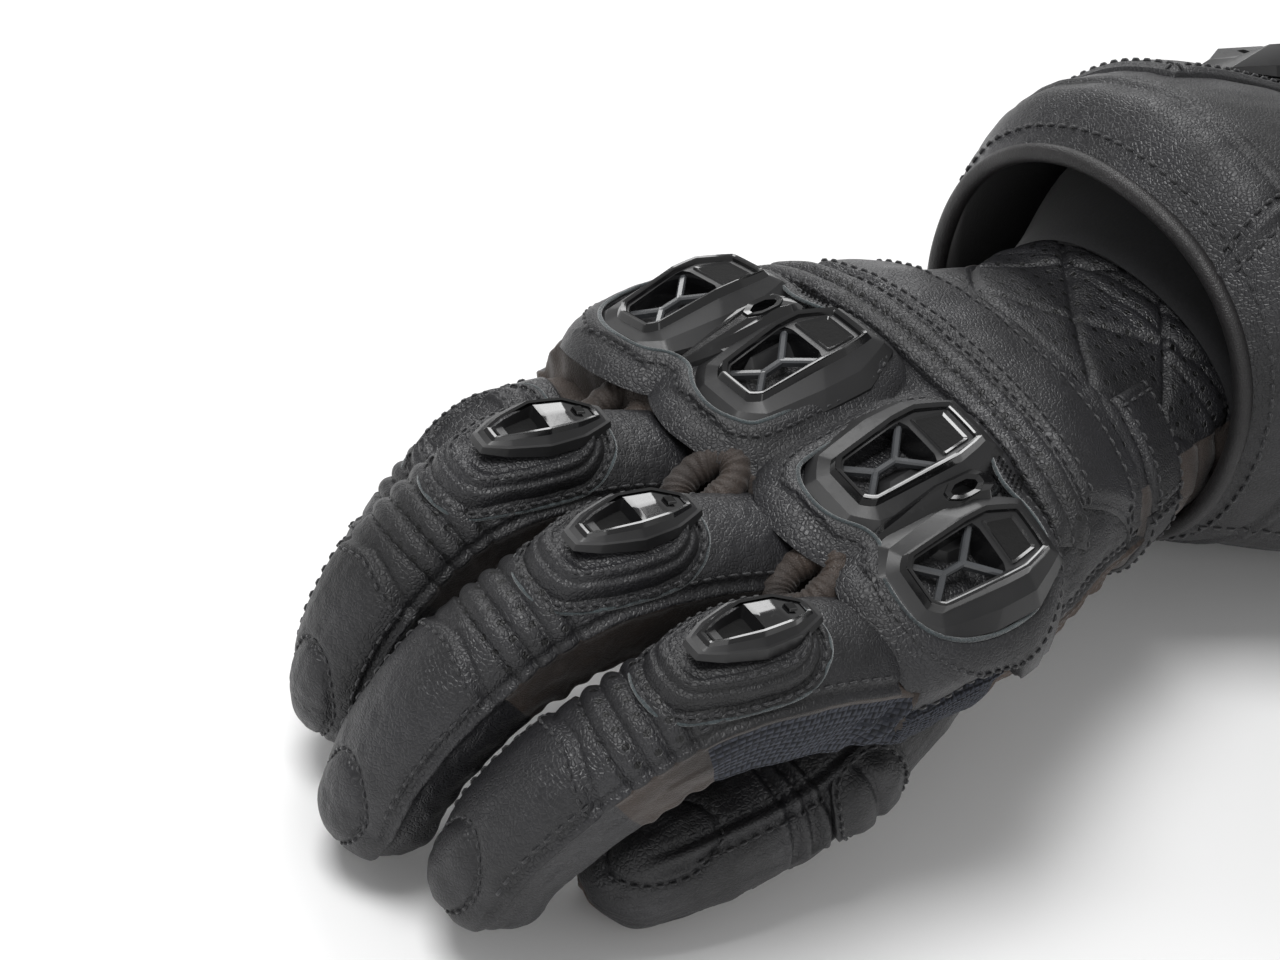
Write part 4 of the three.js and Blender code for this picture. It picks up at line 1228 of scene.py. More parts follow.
    def slider(self) -> None:
        """The hard slider: satin flange, polished frame, front ramp, a window and a square vent floored with
        near-black painted shade, and a facet.
        """
        middle, ahead, side, back = (v for v in self.line.frame_at(np.array(self.plan.slider)))
        skin = float(np.interp(self.plan.slider, self.line._run, self.line._thick))
        place = Place(middle + back * (skin + 2.2), side, -ahead, back)
        stock = Stock(f"{self.name}_slider_cap")
        flange = facet_ring(flatten(((1.9, -12.2), (4.0, -8.4), (5.9, -1.5), (5.2, 5.5), (2.2, 12.2)), 0.0))
        brim = facet_ring([(1.8, -11.9, 1.1), (3.8, -8.2, 1.5), (5.6, -1.5, 1.9), (4.9, 5.5, 1.8),
                           (2.0, 11.9, 1.1)])
        foot = facet_ring([(1.5, -10.2, 1.7), (2.7, -7.4, 2.3), (4.1, -1.5, 3.0), (3.6, 5.0, 2.8),
                           (1.5, 10.2, 1.8)])
        top = facet_ring([(1.35, -9.7, 2.3), (2.4, -7.1, 3.0), (3.7, -1.4, 3.9), (3.2, 4.9, 3.6),
                          (1.35, 9.7, 2.4)])
        inner = facet_ring([(1.1, -9.2, 2.25), (2.0, -6.8, 2.9), (3.2, -1.3, 3.8), (2.7, 4.7, 3.5),
                            (1.1, 9.2, 2.3)])
        loft(stock, place, [flange, brim, brim * 0.93 + (0, 0, 0.25), foot], ["satin"] * 3)
        loft(stock, place, [foot, top * 0.85 + foot * 0.15 + (0, 0, 0.08), top, inner], ["polished"] * 3)
        mouth = facet_ring([(1.0, -8.8, 1.9), (1.75, -6.6, 2.4), (2.75, -1.4, 3.2), (2.75, -0.9, 3.3),
                            (2.6, -0.6, 3.3)])
        hole = facet_ring([(0.8, -6.8, 1.3), (1.4, -5.8, 1.3), (2.3, -1.6, 1.3), (2.3, -1.2, 1.3),
                           (2.2, -0.9, 1.3)])
        self._deck(stock, place, inner)
        loft(stock, place, [mouth + (0, 0, 0.28), hole], ["satin"])
        # Painted shade: the window's floor is a near-black sheet.
        loft(stock, place, [hole, np.broadcast_to(hole.mean(0), hole.shape) * 0.98 + hole * 0.02], ["deep"])
        vent = facet_ring([(0.75, 5.6, 3.42), (0.8, 5.9, 3.4), (0.8, 6.9, 3.25), (0.75, 7.2, 3.2)])
        pit = vent * (0.75, 1, 1) - (0, 0, 0.05)
        loft(stock, place, [vent * (1.25, 1, 1) - (0, 0, 0.3), vent, pit], ["polished"] * 2)
        # Painted shade: the vent's shallow pit is floored with a near-black sheet.
        loft(stock, place, [pit, np.broadcast_to(pit.mean(0), pit.shape) * 0.98 + pit * 0.02], ["deep"])
        made = stock.build(sharp=28)
        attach(made, f"{self.name}_base")
        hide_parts(f"{self.name}_slider")

    def _deck(self, stock: Stock, place: Place, inner: Grid) -> None:
        """The slider's top inside its frame: a window rim in front, a polished facet falling behind it."""
        u = np.linspace(-1, 1, 13)[None]
        for low, high, finish in ((-9.2, -6.9, "satin"), (-0.7, 9.2, "polished")):
            y = np.linspace(low, high, 20)[:, None]
            half = np.interp(y[:, 0], (-9.2, -6.8, -1.3, 4.7, 9.2), (1.1, 2.0, 3.2, 2.7, 1.1))[:, None]
            z = np.interp(y[:, 0], (-9.2, -6.8, -1.3, 4.7, 9.2), (2.25, 2.9, 3.8, 3.5, 2.3))[:, None] - 0.25
            if finish == "satin":
                z = z - 0.75 * (y - low) / (high - low)
            else:
                z = z + 0.25 * (1 - np.abs(u)) * inside(y, -0.7, 4.5, 0.6)
            local = np.stack([half * u + 0 * y, y + 0 * u, z + 0 * u], -1)
            points = place.carry(local)
            stock.grid(points, finish, outward=np.broadcast_to(place.off, points.shape))


# ---------------------------------------------------------------- hand, thumb, wrist and cuff
@dataclass
class PlanPatch(Patch):
    """A patch laid out in the x and y of the hand, on its back or on its palm."""

    palm: bool = False

    def carry(self, local: Grid, height: Grid | float) -> Grid:
        """Points on the hand's skin over or under local x and y, at a height off it."""
        x, y = local[..., 0], local[..., 1]
        return on_hand(x, y, height, self.palm)

    def _away(self, points: Grid) -> Grid:
        """Outward directions: up for the back, down for the palm."""
        return np.broadcast_to(np.array((0, 0, -1.0 if self.palm else 1.0)), points.shape)


def outline_of(corners: Sequence[tuple[float, float]], rounds: int, count: int) -> Grid:
    """A polygon with its corners cut round, as count evenly spaced points."""
    p = np.array(corners, float)
    for _ in range(rounds):
        q = np.roll(p, -1, 0)
        p = np.stack([0.75 * p + 0.25 * q, 0.25 * p + 0.75 * q], 1).reshape(-1, 2)
    p = np.vstack([p, p[:1]])
    run = np.concatenate([[0], np.cumsum(np.linalg.norm(np.diff(p, axis=0), axis=1))])
    at = np.arange(count) / count * run[-1]
    return np.stack([np.interp(at, run, p[:, i]) for i in (0, 1)], -1)


def outside_by(x: Grid, y: Grid, loop: Grid) -> Grid:
    """Distance from points to a loop, zero within it, by the crossing rule."""
    shape = np.broadcast(x, y).shape
    px, py = (np.broadcast_to(v, shape).reshape(-1, 1) for v in (x, y))
    far = np.sqrt(((px - loop[:, 0]) ** 2 + (py - loop[:, 1]) ** 2).min(1))
    nxt = np.roll(loop, -1, 0)
    spans = (loop[:, 1] > py) != (nxt[:, 1] > py)
    rise = np.where(nxt[:, 1] == loop[:, 1], 1e-9, nxt[:, 1] - loop[:, 1])
    hits = spans & (px < (nxt[:, 0] - loop[:, 0]) * (py - loop[:, 1]) / rise + loop[:, 0])
    return np.where(hits.sum(1) % 2 == 1, 0, far).reshape(shape)


ISLANDS = {
    "index_middle": ((6.0, -5), (8.0, -10), (15, -12.6), (21, -11.5), (26.5, -7), (31, -12.5), (41, -12.5),
                     (45.2, -6), (46, 6),
                     (44, 15), (39, 21.5), (32, 22), (27, 20), (20, 24), (11, 23.5), (6.2, 17)),
    "ring_pinky": ((-0.2, -5), (-2.5, -10), (-10, -12.6), (-16.5, -11), (-21.5, -7), (-27, -12),
                   (-37, -12), (-43.5, -6),
                   (-44.8, 5), (-41, 14.5), (-34.5, 21.5), (-28, 21.5), (-22, 20), (-15, 23.5), (-6, 23),
                   (-0.8, 17)),
}
"""Outline of the stuffed leather round each pair of knuckle pods, in the hand's x and y."""


def hump(x: Grid, y: Grid) -> Grid:
    """How much the stuffing lifts the back of the hand: 3.4 mm on an island, easing to nothing 9 mm out."""
    high = np.zeros(np.broadcast(x, y).shape)
    for corners in ISLANDS.values():
        far = outside_by(x, y, outline_of(corners, 3, 120))
        high = np.maximum(high, 3.4 * (1 - step(far, 0.0, 9.0)) ** 1.3)
    return high * (1 - 0.55 * step(y, 20, 30)) * (1 - step(y, 30, 40))


def on_hand(x: Grid, y: Grid, height: Grid | float, palm: bool = False) -> Grid:
    """Points of the hand's skin above (or below) x and y, at a height off it."""
    t = HAND.over(np.clip(x, -51, 46.5), y)
    if not palm:
        height = height + hump(x, y)
    return HAND.lift(y, -t if palm else t, height)


def strip(stock: Stock, ends: tuple[Grid, Grid], x: Grid, profile: Callable[[Grid, Grid], Grid],
          finish: str,
          rows: int = 28, skin: Callable[[Grid, Grid, Grid], Grid] = on_hand, wall: float = -0.8) -> Grid:
    """A band across a skin: at each x it runs from a front y to a rear y, with walls down to the skin.

    Args:
        stock: piece it is added to.
        ends: front and rear y for each x.
        x: places along the band.
        profile: height in mm from share along x and share from front to rear.
        finish: its finish.
        rows: rows from front to rear.
        skin: maps x, y and height to points.
        wall: depth of its sides.

    Returns:
        The grid of points without its walls.
    """
    v = np.linspace(0, 1, rows)[None]
    u = np.linspace(0, 1, len(x))[:, None]
    y = ends[0][:, None] * (1 - v) + ends[1][:, None] * v
    xs = np.broadcast_to(x[:, None], y.shape)
    high = profile(u, v) + 0 * y
    body = skin(xs, y, high)
    wide_x, wide_y = np.pad(xs, 1, mode="edge"), np.pad(y, 1, mode="edge")
    wide_h = np.pad(high, 1, constant_values=wall)
    whole = skin(wide_x, wide_y, wide_h)
    run = np.concatenate([[0], np.cumsum(np.linalg.norm(np.diff(body[:, rows // 2], axis=0), axis=1))])
    run = np.pad(run, 1, mode="edge")
    away = skin(wide_x, wide_y, wide_h + 1) - whole
    stock.grid(whole, finish, np.stack([np.broadcast_to(run[:, None], wide_y.shape), wide_y], -1),
               outward=away)
    return body


class Edge(Enum):
    """The sides of a strip: across its width, front and rear, and along its length, start and end."""

    FRONT = "front"
    REAR = "rear"
    START = "start"
    END = "end"


def edge_rows(stock: Stock, body: Grid, off: Grid, inset: Iterable[int],
              sides: Sequence[Edge] = (Edge.FRONT, Edge.REAR), **how: float) -> None:
    """Stitches along a band's long edges (f front, r rear) and short ones (a, b), rows in from each.

    Args:
        stock: piece they are added to.
        body: the band's points.
        off: outward directions at those points.
        inset: rows or columns in from the edge.
        sides: which edges.
        how: passed on to stitches.
    """
    for k in inset:
        lines = {Edge.FRONT: (slice(None), k), Edge.REAR: (slice(None), -1 - k),
                 Edge.START: (k, slice(None)), Edge.END: (-1 - k, slice(None))}
        for side in sides:
            stitches(stock, body[lines[side]] + off[lines[side]] * 0.12, off[lines[side]], **how)


@dataclass
class Hand:
    """Back and palm of the hand, the web between the fingers, and the bands behind the knuckles."""

    front: float = -12.0
    rear: float = 62.0

    def relief(self, s: Grid, t: Grid) -> Grid:
        """Height over the bare skin: side seams, palm creases and soft folds."""
        r = 34.0
        back = (t > 0) & (t < math.pi)
        seam = np.minimum(np.abs(np.sin(t)) * 30, 30)
        high = 0.8 * bump(seam, 1.1) - 0.4 * bump(seam - 2.2, 0.8)
        palm = ~back
        crease = (0.9 * palm * (ripple(s, t * r, 26.0, 71) * 0.6 - 0.7 * bump(s - 4 - 9 * np.cos(t), 2.6)
                                - 0.6 * bump(s - 22 + 12 * np.sin(2 * t), 2.2)))
        soft = 0.2 * ripple(s, t * r, 12.0, 72) + 0.1 * ripple(s, t * r, 4.5, 73)
        bare_skin = HAND.place(s, t)
        swell_up = np.where(back, hump(bare_skin[..., 0], s) * step(np.sin(t), 0.03, 0.35), 0)
        heel = (palm * 1.3 * inside(s, 30, 57, 4) * inside(np.mod(t, TAU), math.pi + 0.35, TAU - 0.35, 0.1)
                * np.abs(np.sin((s - 30) * math.pi / 9)) ** 0.5)
        return high + crease + soft + heel + swell_up

    def skin(self) -> None:
        """The hand's tube, closed at its front by a web that folds in between the fingers."""
        stock = Stock("hand_shell")
        s = np.linspace(self.front, self.rear, 120)[:, None]
        t = (np.arange(288) / 288 * TAU)[None]
        s, t = np.broadcast_arrays(s, t)
        points = HAND.lift(s, t, self.relief(s, t))
        k = np.linspace(0, 1, 16)[1:, None]
        fold = HAND.lift(np.full((15, 288), self.front), np.broadcast_to(t[:1], (15, 288)),
                         self.relief(s[:1], t[:1]) * (1 - k))
        middle = HAND.core(np.array(self.front))
        flat = fold - middle
        pull = 15.2 / 15.5
        width = np.linalg.norm(flat, axis=-1, keepdims=True)
        squeeze = 1 - pull * k[..., None] ** 1.5 * np.minimum(1, 15.5 / width)
        folded = middle + flat * squeeze
        folded[..., 1] = (self.front - 2.6 * np.sin(k * math.pi / 2)
                          + 0.4 * ripple(folded[..., 0], folded[..., 2], 5.0, 74))
        whole = np.concatenate([folded[::-1], points])
        away = whole - np.concatenate([np.broadcast_to(middle + (0, 12, 0), folded.shape), HAND.core(s)])
        r = 34.0
        uv = np.stack([np.broadcast_to(t[:1], whole.shape[:2]) * r, whole[..., 1]], -1)
        mid_t = t[0] + math.pi / 288
        mid_s = (whole[:-1, :, 1] + whole[1:, :, 1]) / 2
        palm = (mid_t > math.pi)[None] & (mid_s > self.front)
        web = mid_s < self.front + 0.1
        side = ((mid_t > TAU - 0.62) | (mid_t < 0.1))[None] & (mid_s < 9) & (mid_s > self.front - 0.5)
        kind = np.where(side, 3, np.where(web, 2, np.where(palm, 1, 0)))
        stock.grid(whole, "grain", uv, ring=True, outward=away, finish_of=kind,
                   others=("suede", "soft", "textile"))
        for turn in (0.10, math.pi - 0.10):
            row = np.linspace(self.front + 1, self.rear - 2, 120)
            at = np.full_like(row, turn)
            stitches(stock, HAND.lift(row, at, self.relief(row, at) + 0.15), HAND.normal(row, at))
        self.gussets(stock)
        made = stock.build()
        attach(made, "hand")
        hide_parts("back_of_hand_panel", "palm_panel", "finger_web")

    def gussets(self, stock: Stock) -> None:
        """Gathered oval rolls of thin leather in the webs, as rings with sine folds round a dark slit."""
        tilt = math.radians(58)
        for x, y, z in ((23.8, -17.0, 57.0), (-1.2, -17.5, 58.0), (-25.2, -16.5, 54.0)):
            a = np.linspace(0, TAU, 121)[:, None]
            b = (np.arange(20) / 20 * TAU)[None]
            folds = 1 + 0.045 * np.sin(a * 23 + 1.2 * np.sin(a * 3)) + 0.06 * np.sin(a * 5 + 1)
            ring = 2.7 * folds
            across, along = np.array((1.0, 0, 0)), np.array((0, math.sin(tilt), math.cos(tilt)))
            out = np.array((0, -math.cos(tilt), math.sin(tilt)))
            spine = (np.array((x, y, z)) + 3.5 * np.cos(a)[..., None] * across
                     + 6.0 * np.sin(a)[..., None] * along)
            away = unit(np.cos(a)[..., None] * across + np.sin(a)[..., None] * along)
            points = spine + (ring * np.cos(b))[..., None] * away + (ring * np.sin(b))[..., None] * out
            stock.grid(points, "soft", np.stack([a * 6 + 0 * b, b * 2 + 0 * a], -1), ring=True,
                       outward=points - spine)

    def flex_band(self) -> None:
        """Two perforated ridges across the hand, lowered at both ends."""
        stock = Stock("flex_band_skin")
        x = np.linspace(-44, 37, 150)
        bow = 1 - ((x + 3) / 46) ** 2
        front, rear = 26.0 + 1.6 * bow, 35.6 + 2.0 * bow
        body = strip(stock, (front, rear), x, lambda u, v: (0.4 + 2.0 * np.abs(np.sin(TAU * v)) ** 0.62)
                     * np.clip(np.minimum(u, 1 - u) * 30, 0.15, 1) ** 0.5
                     + 0.10 * ripple(u * 80, v * 9, 5.0, 81), "perforated", rows=44)
        y = np.broadcast_to((front[:, None] * (1 - np.linspace(0, 1, 44))
                             + rear[:, None] * np.linspace(0, 1, 44)), body.shape[:2])
        off = unit(on_hand(np.broadcast_to(x[:, None], y.shape), y, 3.0)
                   - on_hand(np.broadcast_to(x[:, None], y.shape), y, 1.0))
        edge_rows(stock, body, off, (1, 21), (Edge.FRONT, Edge.REAR), pitch=2.2, long=1.5, thick=0.25)
        made = stock.build()
        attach(made, "hand")
        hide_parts("flex_band")

    def bridge_band(self) -> None:
        """A wide smooth padded band behind the flex band, with a doubled stitched edge."""
        stock = Stock("back_band_skin")
        x = np.linspace(-39, 32, 130)
        bow = 1 - ((x + 4) / 42) ** 2
        front, rear = 37.2 + 1.6 * bow, 55.2 + 1.0 * bow
        rows = 46
        body = strip(stock, (front, rear), x, lambda u, v: 0.5
                     + 1.15 * inside(v, 0.07, 0.93, 0.09) * inside(u, 0.02, 0.98, 0.02)
                     + 0.15 * ripple(u * 70, v * 18, 11.0, 82), "grain", rows=rows)
        v = np.linspace(0, 1, rows)
        y = front[:, None] * (1 - v) + rear[:, None] * v
        wide = np.broadcast_to(x[:, None], y.shape)
        off = unit(on_hand(wide, y, 3.0) - on_hand(wide, y, 1.0))
        edge_rows(stock, body, off, (2, 6), (Edge.FRONT, Edge.REAR), pitch=2.4, long=1.65, thick=0.27)
        made = stock.build()
        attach(made, "hand")
        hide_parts("back_bridge_band")

    def build(self) -> None:
        """Makes and fixes the hand's pieces."""
        self.skin()
        self.flex_band()
        self.bridge_band()
        log.info("hand built")


@dataclass(frozen=True)
class PodPlan:
    """One knuckle pod: its finger, where it sits and how it leans."""

    finger: str
    x: float
    y: float
    lean: float
    yaw: float


def back_place(x: float, y: float, lean: float, yaw: float, lift: float = 2.3) -> Place:
    """Place on the back of the hand: turned about z by yaw and y by lean, pitched to the skin's slope."""
    height = lambda px, py: float(HAND.place(np.array(py), HAND.over(np.array(px), np.array(py)))[..., 2])
    pitch = math.atan2(height(x, y + 10) - height(x, y - 10), 20)
    turn = (Matrix.Rotation(math.radians(yaw), 3, "Z") @ Matrix.Rotation(math.radians(lean), 3, "Y")
            @ Matrix.Rotation(pitch, 3, "X"))
    m = np.array(turn)
    return Place(np.array((x, y, height(x, y) + lift)), m[:, 0], m[:, 1], m[:, 2])


@dataclass
class KnuckleArmour:
    """Hard vented pods over the knuckles: satin skirts rising from a cut leather collar to a polished frame.

    Each pod is a stack of loops: skirt, frame foot, frame top, frame inside, deck, funnel, window and depth.
    """

    pairs: tuple[tuple[str, tuple[PodPlan, PodPlan]], ...] = (
        ("index_middle", (PodPlan("index", 36.5, 3.5, 20, 3), PodPlan("middle", 16.5, 6.5, 7, 1))),
        ("ring_pinky", (PodPlan("ring", -10.5, 6, -4, -1), PodPlan("pinky", -33, 4, -16, -4))),
    )

    # Half outlines of a pod's loops, front to rear: x and y, and for the raised ones the height, in mm.
    SKIRT = ((4.8, -16.2), (9.6, -11.5), (11.6, -1.5), (11.5, 8.5), (6.4, 18.2))
    FOOT = ((3.8, -12.0, 3.0), (5.6, -10.4, 3.5), (6.6, 2.0, 5.5), (6.6, 7.0, 5.6), (4.6, 14.6, 4.4))
    TOP = ((3.5, -11.3, 4.2), (5.1, -9.9, 4.7), (6.0, 2.0, 6.9), (6.0, 6.8, 7.0), (4.2, 13.7, 5.7))
    INSIDE = ((3.0, -10.6, 4.1), (4.5, -9.3, 4.6), (5.3, 1.9, 6.7), (5.3, 6.5, 6.8), (3.7, 12.9, 5.5))
    DECK = ((2.9, -10.5, 3.5), (4.35, -9.2, 4.0), (5.1, 1.9, 6.0), (5.1, 6.4, 6.1), (3.5, 12.7, 5.0))
    MOUTH = ((2.75, -10.2, 3.4), (4.1, -9.0, 3.9), (4.75, 1.6, 6.0), (4.7, 3.0, 6.1), (3.4, 3.6, 6.1))
    WINDOW = ((2.5, -9.4), (3.7, -8.4), (4.3, 1.4), (4.2, 2.5), (3.1, 3.0))
    # Bars of the lattice: x and y of one end, then of the other.
    TRUSS = ((0, -5.4, 0, -1.6), (0, -5.4, 3.6, -9.3), (0, -5.4, -3.6, -9.3), (0, -1.6, 4.3, 2.6),
             (0, -1.6, -4.3, 2.6))

    def pod(self, stock: Stock, place: Place) -> None:
        """Adds one pod to its pair's piece."""
        skirt = facet_ring(flatten(self.SKIRT, 0.0))
        foot, top, inner, deck, mouth = (facet_ring(h)
                                         for h in (self.FOOT, self.TOP, self.INSIDE, self.DECK, self.MOUTH))
        window = facet_ring(flatten(self.WINDOW, 1.6))
        rim = skirt + (0, 0, 1.2)
        knee = skirt * 0.55 + foot * 0.45
        knee[:, 2] = 1.2 * 0.5 + foot[:, 2] * 0.5 + 0.35
        loft(stock, place, [skirt, rim, knee, foot], ["satin"] * 3)
        loft(stock, place, [foot, foot * 0.12 + top * 0.88, top + (0, 0, 0.06), top * 0.4 + inner * 0.6
                            + (0, 0, 0.06), inner, deck],
             ["polished"] * 5)
        loft(stock, place, [deck, deck * 0.5 + mouth * 0.5, mouth], ["satin"] * 2)
        loft(stock, place, [mouth, mouth * 0.85 + window * 0.15 - (0, 0, 0.15), window, window
                            - (0, 0, 2.4)], ["polished"] * 3)
        # Painted shade: a near-black sheet closes the window 2.4 mm down, for the shade inside it.
        dark = window * (0.98, 0.98, 1) - (0, 0, 2.4)
        centre = np.broadcast_to(dark.mean(0), dark.shape)
        loft(stock, place, [dark, centre * 0.98 + dark * 0.02], ["deep"])
        self.slot(stock, place)

    def truss(self, stock: Stock, place: Place) -> None:
        """The window's lattice: a spine with two arms at each end, bevelled bars that climb with it."""
        section = 0.62 * np.array([(-1, -1.2), (1, -1.2), (1, 0.2), (0.55, 0.7), (-0.55, 0.7), (-1, 0.2)])
        for ax, ay, bx, by in self.TRUSS:
            ends = np.array([(ax, ay, 2.6 + 0.19 * (ay + 9.4)), (bx, by, 2.6 + 0.19 * (by + 9.4))])
            ahead = unit(ends[1] - ends[0])
            side = unit(np.cross(ahead, (0, 0, 1)))
            axis = np.stack([ends[0] - 0.3 * ahead, ends[1] + 0.5 * ahead])[:, None]
            bar = axis + section[None, :, :1] * side + section[None, :, 1:] * np.array((0, 0, 1.0))
            stock.grid(place.carry(bar), "lattice", ring=True, outward=place.carry(bar)
                       - place.carry(axis + 0 * bar))

    def slot(self, stock: Stock, place: Place) -> None:
        """The recess at the rear of the deck: a polished lip round a shallow floor coloured near-black as
        painted shade.
        """
        height = lambda y: 6.12 - 0.118 * (y - 3.6)
        lip = facet_ring([(x, y, height(y) + 0.32) for x,
                          y in ((4.1, 4.9), (4.25, 5.4), (3.35, 10.9), (3.1, 11.3))])
        outer = lip * (1.06, 1, 1) - (0, 0, 0.5)
        outer[:, 1] = 8.1 + (outer[:, 1] - 8.1) * 1.10
        floor = lip * (0.87, 1, 1) - (0, 0, 0.24)
        floor[:, 1] = 8.1 + (floor[:, 1] - 8.1) * 0.86
        centre = np.broadcast_to(floor.mean(0), floor.shape)
        loft(stock, place, [outer, lip, floor], ["satin", "polished"])
        # Painted shade: the slot's floor is a near-black sheet.
        loft(stock, place, [floor, centre * 0.98 + floor * 0.02], ["deep"])

    def vent(self, stock: Stock, place: Place) -> None:
        """The faceted wedge between two pods, with a six-sided ring and a pointed front."""
        half = ((0.5, -14.5), (2.6, -8), (4.6, 1.5), (4.2, 9.5), (2.2, 14))
        foot = facet_ring(flatten(half, 0.4))
        waist = facet_ring([(h[0] * 0.9, h[1] * 0.97, z) for h, z in zip(half, (1.4, 2.1, 3.2, 3.5, 2.4))])
        crest = facet_ring([(0.35, -12.6, 2.2), (1.1, -6.5, 3.2), (2.5, 2.0, 4.8), (2.2, 9.6, 5.0),
                            (0.9, 12.4, 3.4)])
        hexagon = facet_ring([(0.7, 1.6, 4.95), (1.9, 3.6, 5.1), (2.0, 5.6, 5.2), (1.9, 7.6, 5.2),
                              (0.7, 9.4, 5.1)])
        hole = facet_ring([(0.35, 2.9, 4.95), (1.1, 4.3, 5.1), (1.15, 5.6, 5.1), (1.1, 6.9, 5.1),
                           (0.35, 8.3, 5.0)])
        loft(stock, place, [foot, waist], ["satin"])
        loft(stock, place, [waist, crest, hexagon, hexagon * 0.9 + hole * 0.1 + (0, 0, 0.45), hole
                            + (0, 0, 0.3), hole - (0, 0, 3.0)],
             ["polished"] * 5)
        # Painted shade: the hole is closed 3 mm down by a near-black sheet.
        low = hole - (0, 0, 3.0)
        loft(stock, place, [low, np.broadcast_to(low.mean(0), low.shape) * 0.98 + low * 0.02], ["deep"])

    def stipple(self, stock: Stock, place: Place) -> None:
        """Rows of short raised dashes on the skirts behind the vent."""
        x, y = np.meshgrid(np.arange(-3, 3.1, 1.0), np.arange(12.5, 17.5, 0.8))
        x = x + 0.5 * (np.arange(x.shape[0]) % 2)[:, None]
        for px, py in zip(x.ravel(), y.ravel()):
            ring = facet_ring([(0.24, -0.13, 0), (0.3, -0.04, 0), (0.3, 0.04, 0), (0.24, 0.13, 0)],
                              per_edge=8)
            base = ring + (px, py, 2.5 - 0.08 * (py - 12))
            top = ring * (0.6, 0.6, 1) + (px, py, 3.0 - 0.08 * (py - 12))
            loft(stock, place, [base, top], ["satin"])

    def build(self) -> None:
        """Makes and fixes the shells, their grilles and their islands."""
        for pair, pods in self.pairs:
            stock = Stock(f"knuckle_armour_{pair}")
            for plan in pods:
                seat = back_place(plan.x, plan.y, plan.lean, plan.yaw)
                self.pod(stock, seat)
                bars = Stock(f"vent_lattice_{plan.finger}")
                self.truss(bars, seat)
                lattice = bars.build(sharp=28)
                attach(lattice, "hand")
                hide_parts(f"knuckle_grille_{plan.finger}")
            a, b = pods
            middle = back_place((a.x + b.x) / 2, (a.y + b.y) / 2, (a.lean + b.lean) / 2,
                                (a.yaw + b.yaw) / 2)
            self.vent(stock, middle)
            saddle = facet_ring(flatten(((6, -7), (9.5, -4), (10, 4), (9.5, 12), (6, 15.5)), 0.2))
            crown = saddle * (0.8, 0.8, 1) + (0, 0, 2.4)
            self.stipple(stock, middle)
            loft(stock, middle, [saddle, crown, np.broadcast_to(crown.mean(0), crown.shape) * 0.95
                                 + crown * 0.05 + (0, 0, 0.3)], ["satin"] * 2)
            made = stock.build(sharp=28)
            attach(made, "hand")
            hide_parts(f"knuckle_shell_{pair}")
            self.island(pair)
        log.info("knuckle armour built")

    def island(self, pair: str) -> None:
        """The collar: a stuffed ring cut raw over the shell's skirt, with a stitched seam round it."""
        stock = Stock(f"knuckle_island_{pair}")
        patch = PlanPatch(HAND, 5.0, 1.0, ISLANDS[pair], soften=3, around=260)
        edge = patch.edge()
        out = patch._out(edge)
        steps = np.array([-1.7, -1.5, -1.0, -0.3, 0.4, 1.0, 1.7, 2.6, 3.6, 4.6, 5.4])
        high = np.array([0.8, 1.55, 1.75, 1.7, 1.5, 1.0, 0.75, 0.72, 0.6, 0.2, -0.4])
        local = edge + steps[:, None, None] * out
        fold = 0.10 * ripple(local[..., 0], local[..., 1], 6.0, 91)
        points = on_hand(local[..., 0], local[..., 1], high[:, None] + fold)
        up = on_hand(local[..., 0], local[..., 1], high[:, None] + fold + 1) - points
        stock.grid(points, "grain", local, ring=True, outward=up)
        low = points[1] + 0.1 * unit(up[1])
        cordon(stock, low, up[1], 0.40, "raw", closed=True, flat=0.8)
        at = edge + 0.95 * out
        line = on_hand(at[:, 0], at[:, 1], 1.15)
        stitches(stock, line, up[5], pitch=2.1, long=1.5, thick=0.26, closed=True)
        made = stock.build()
        padded_piece(made, "hand", (f"knuckle_pad_{pair}",))


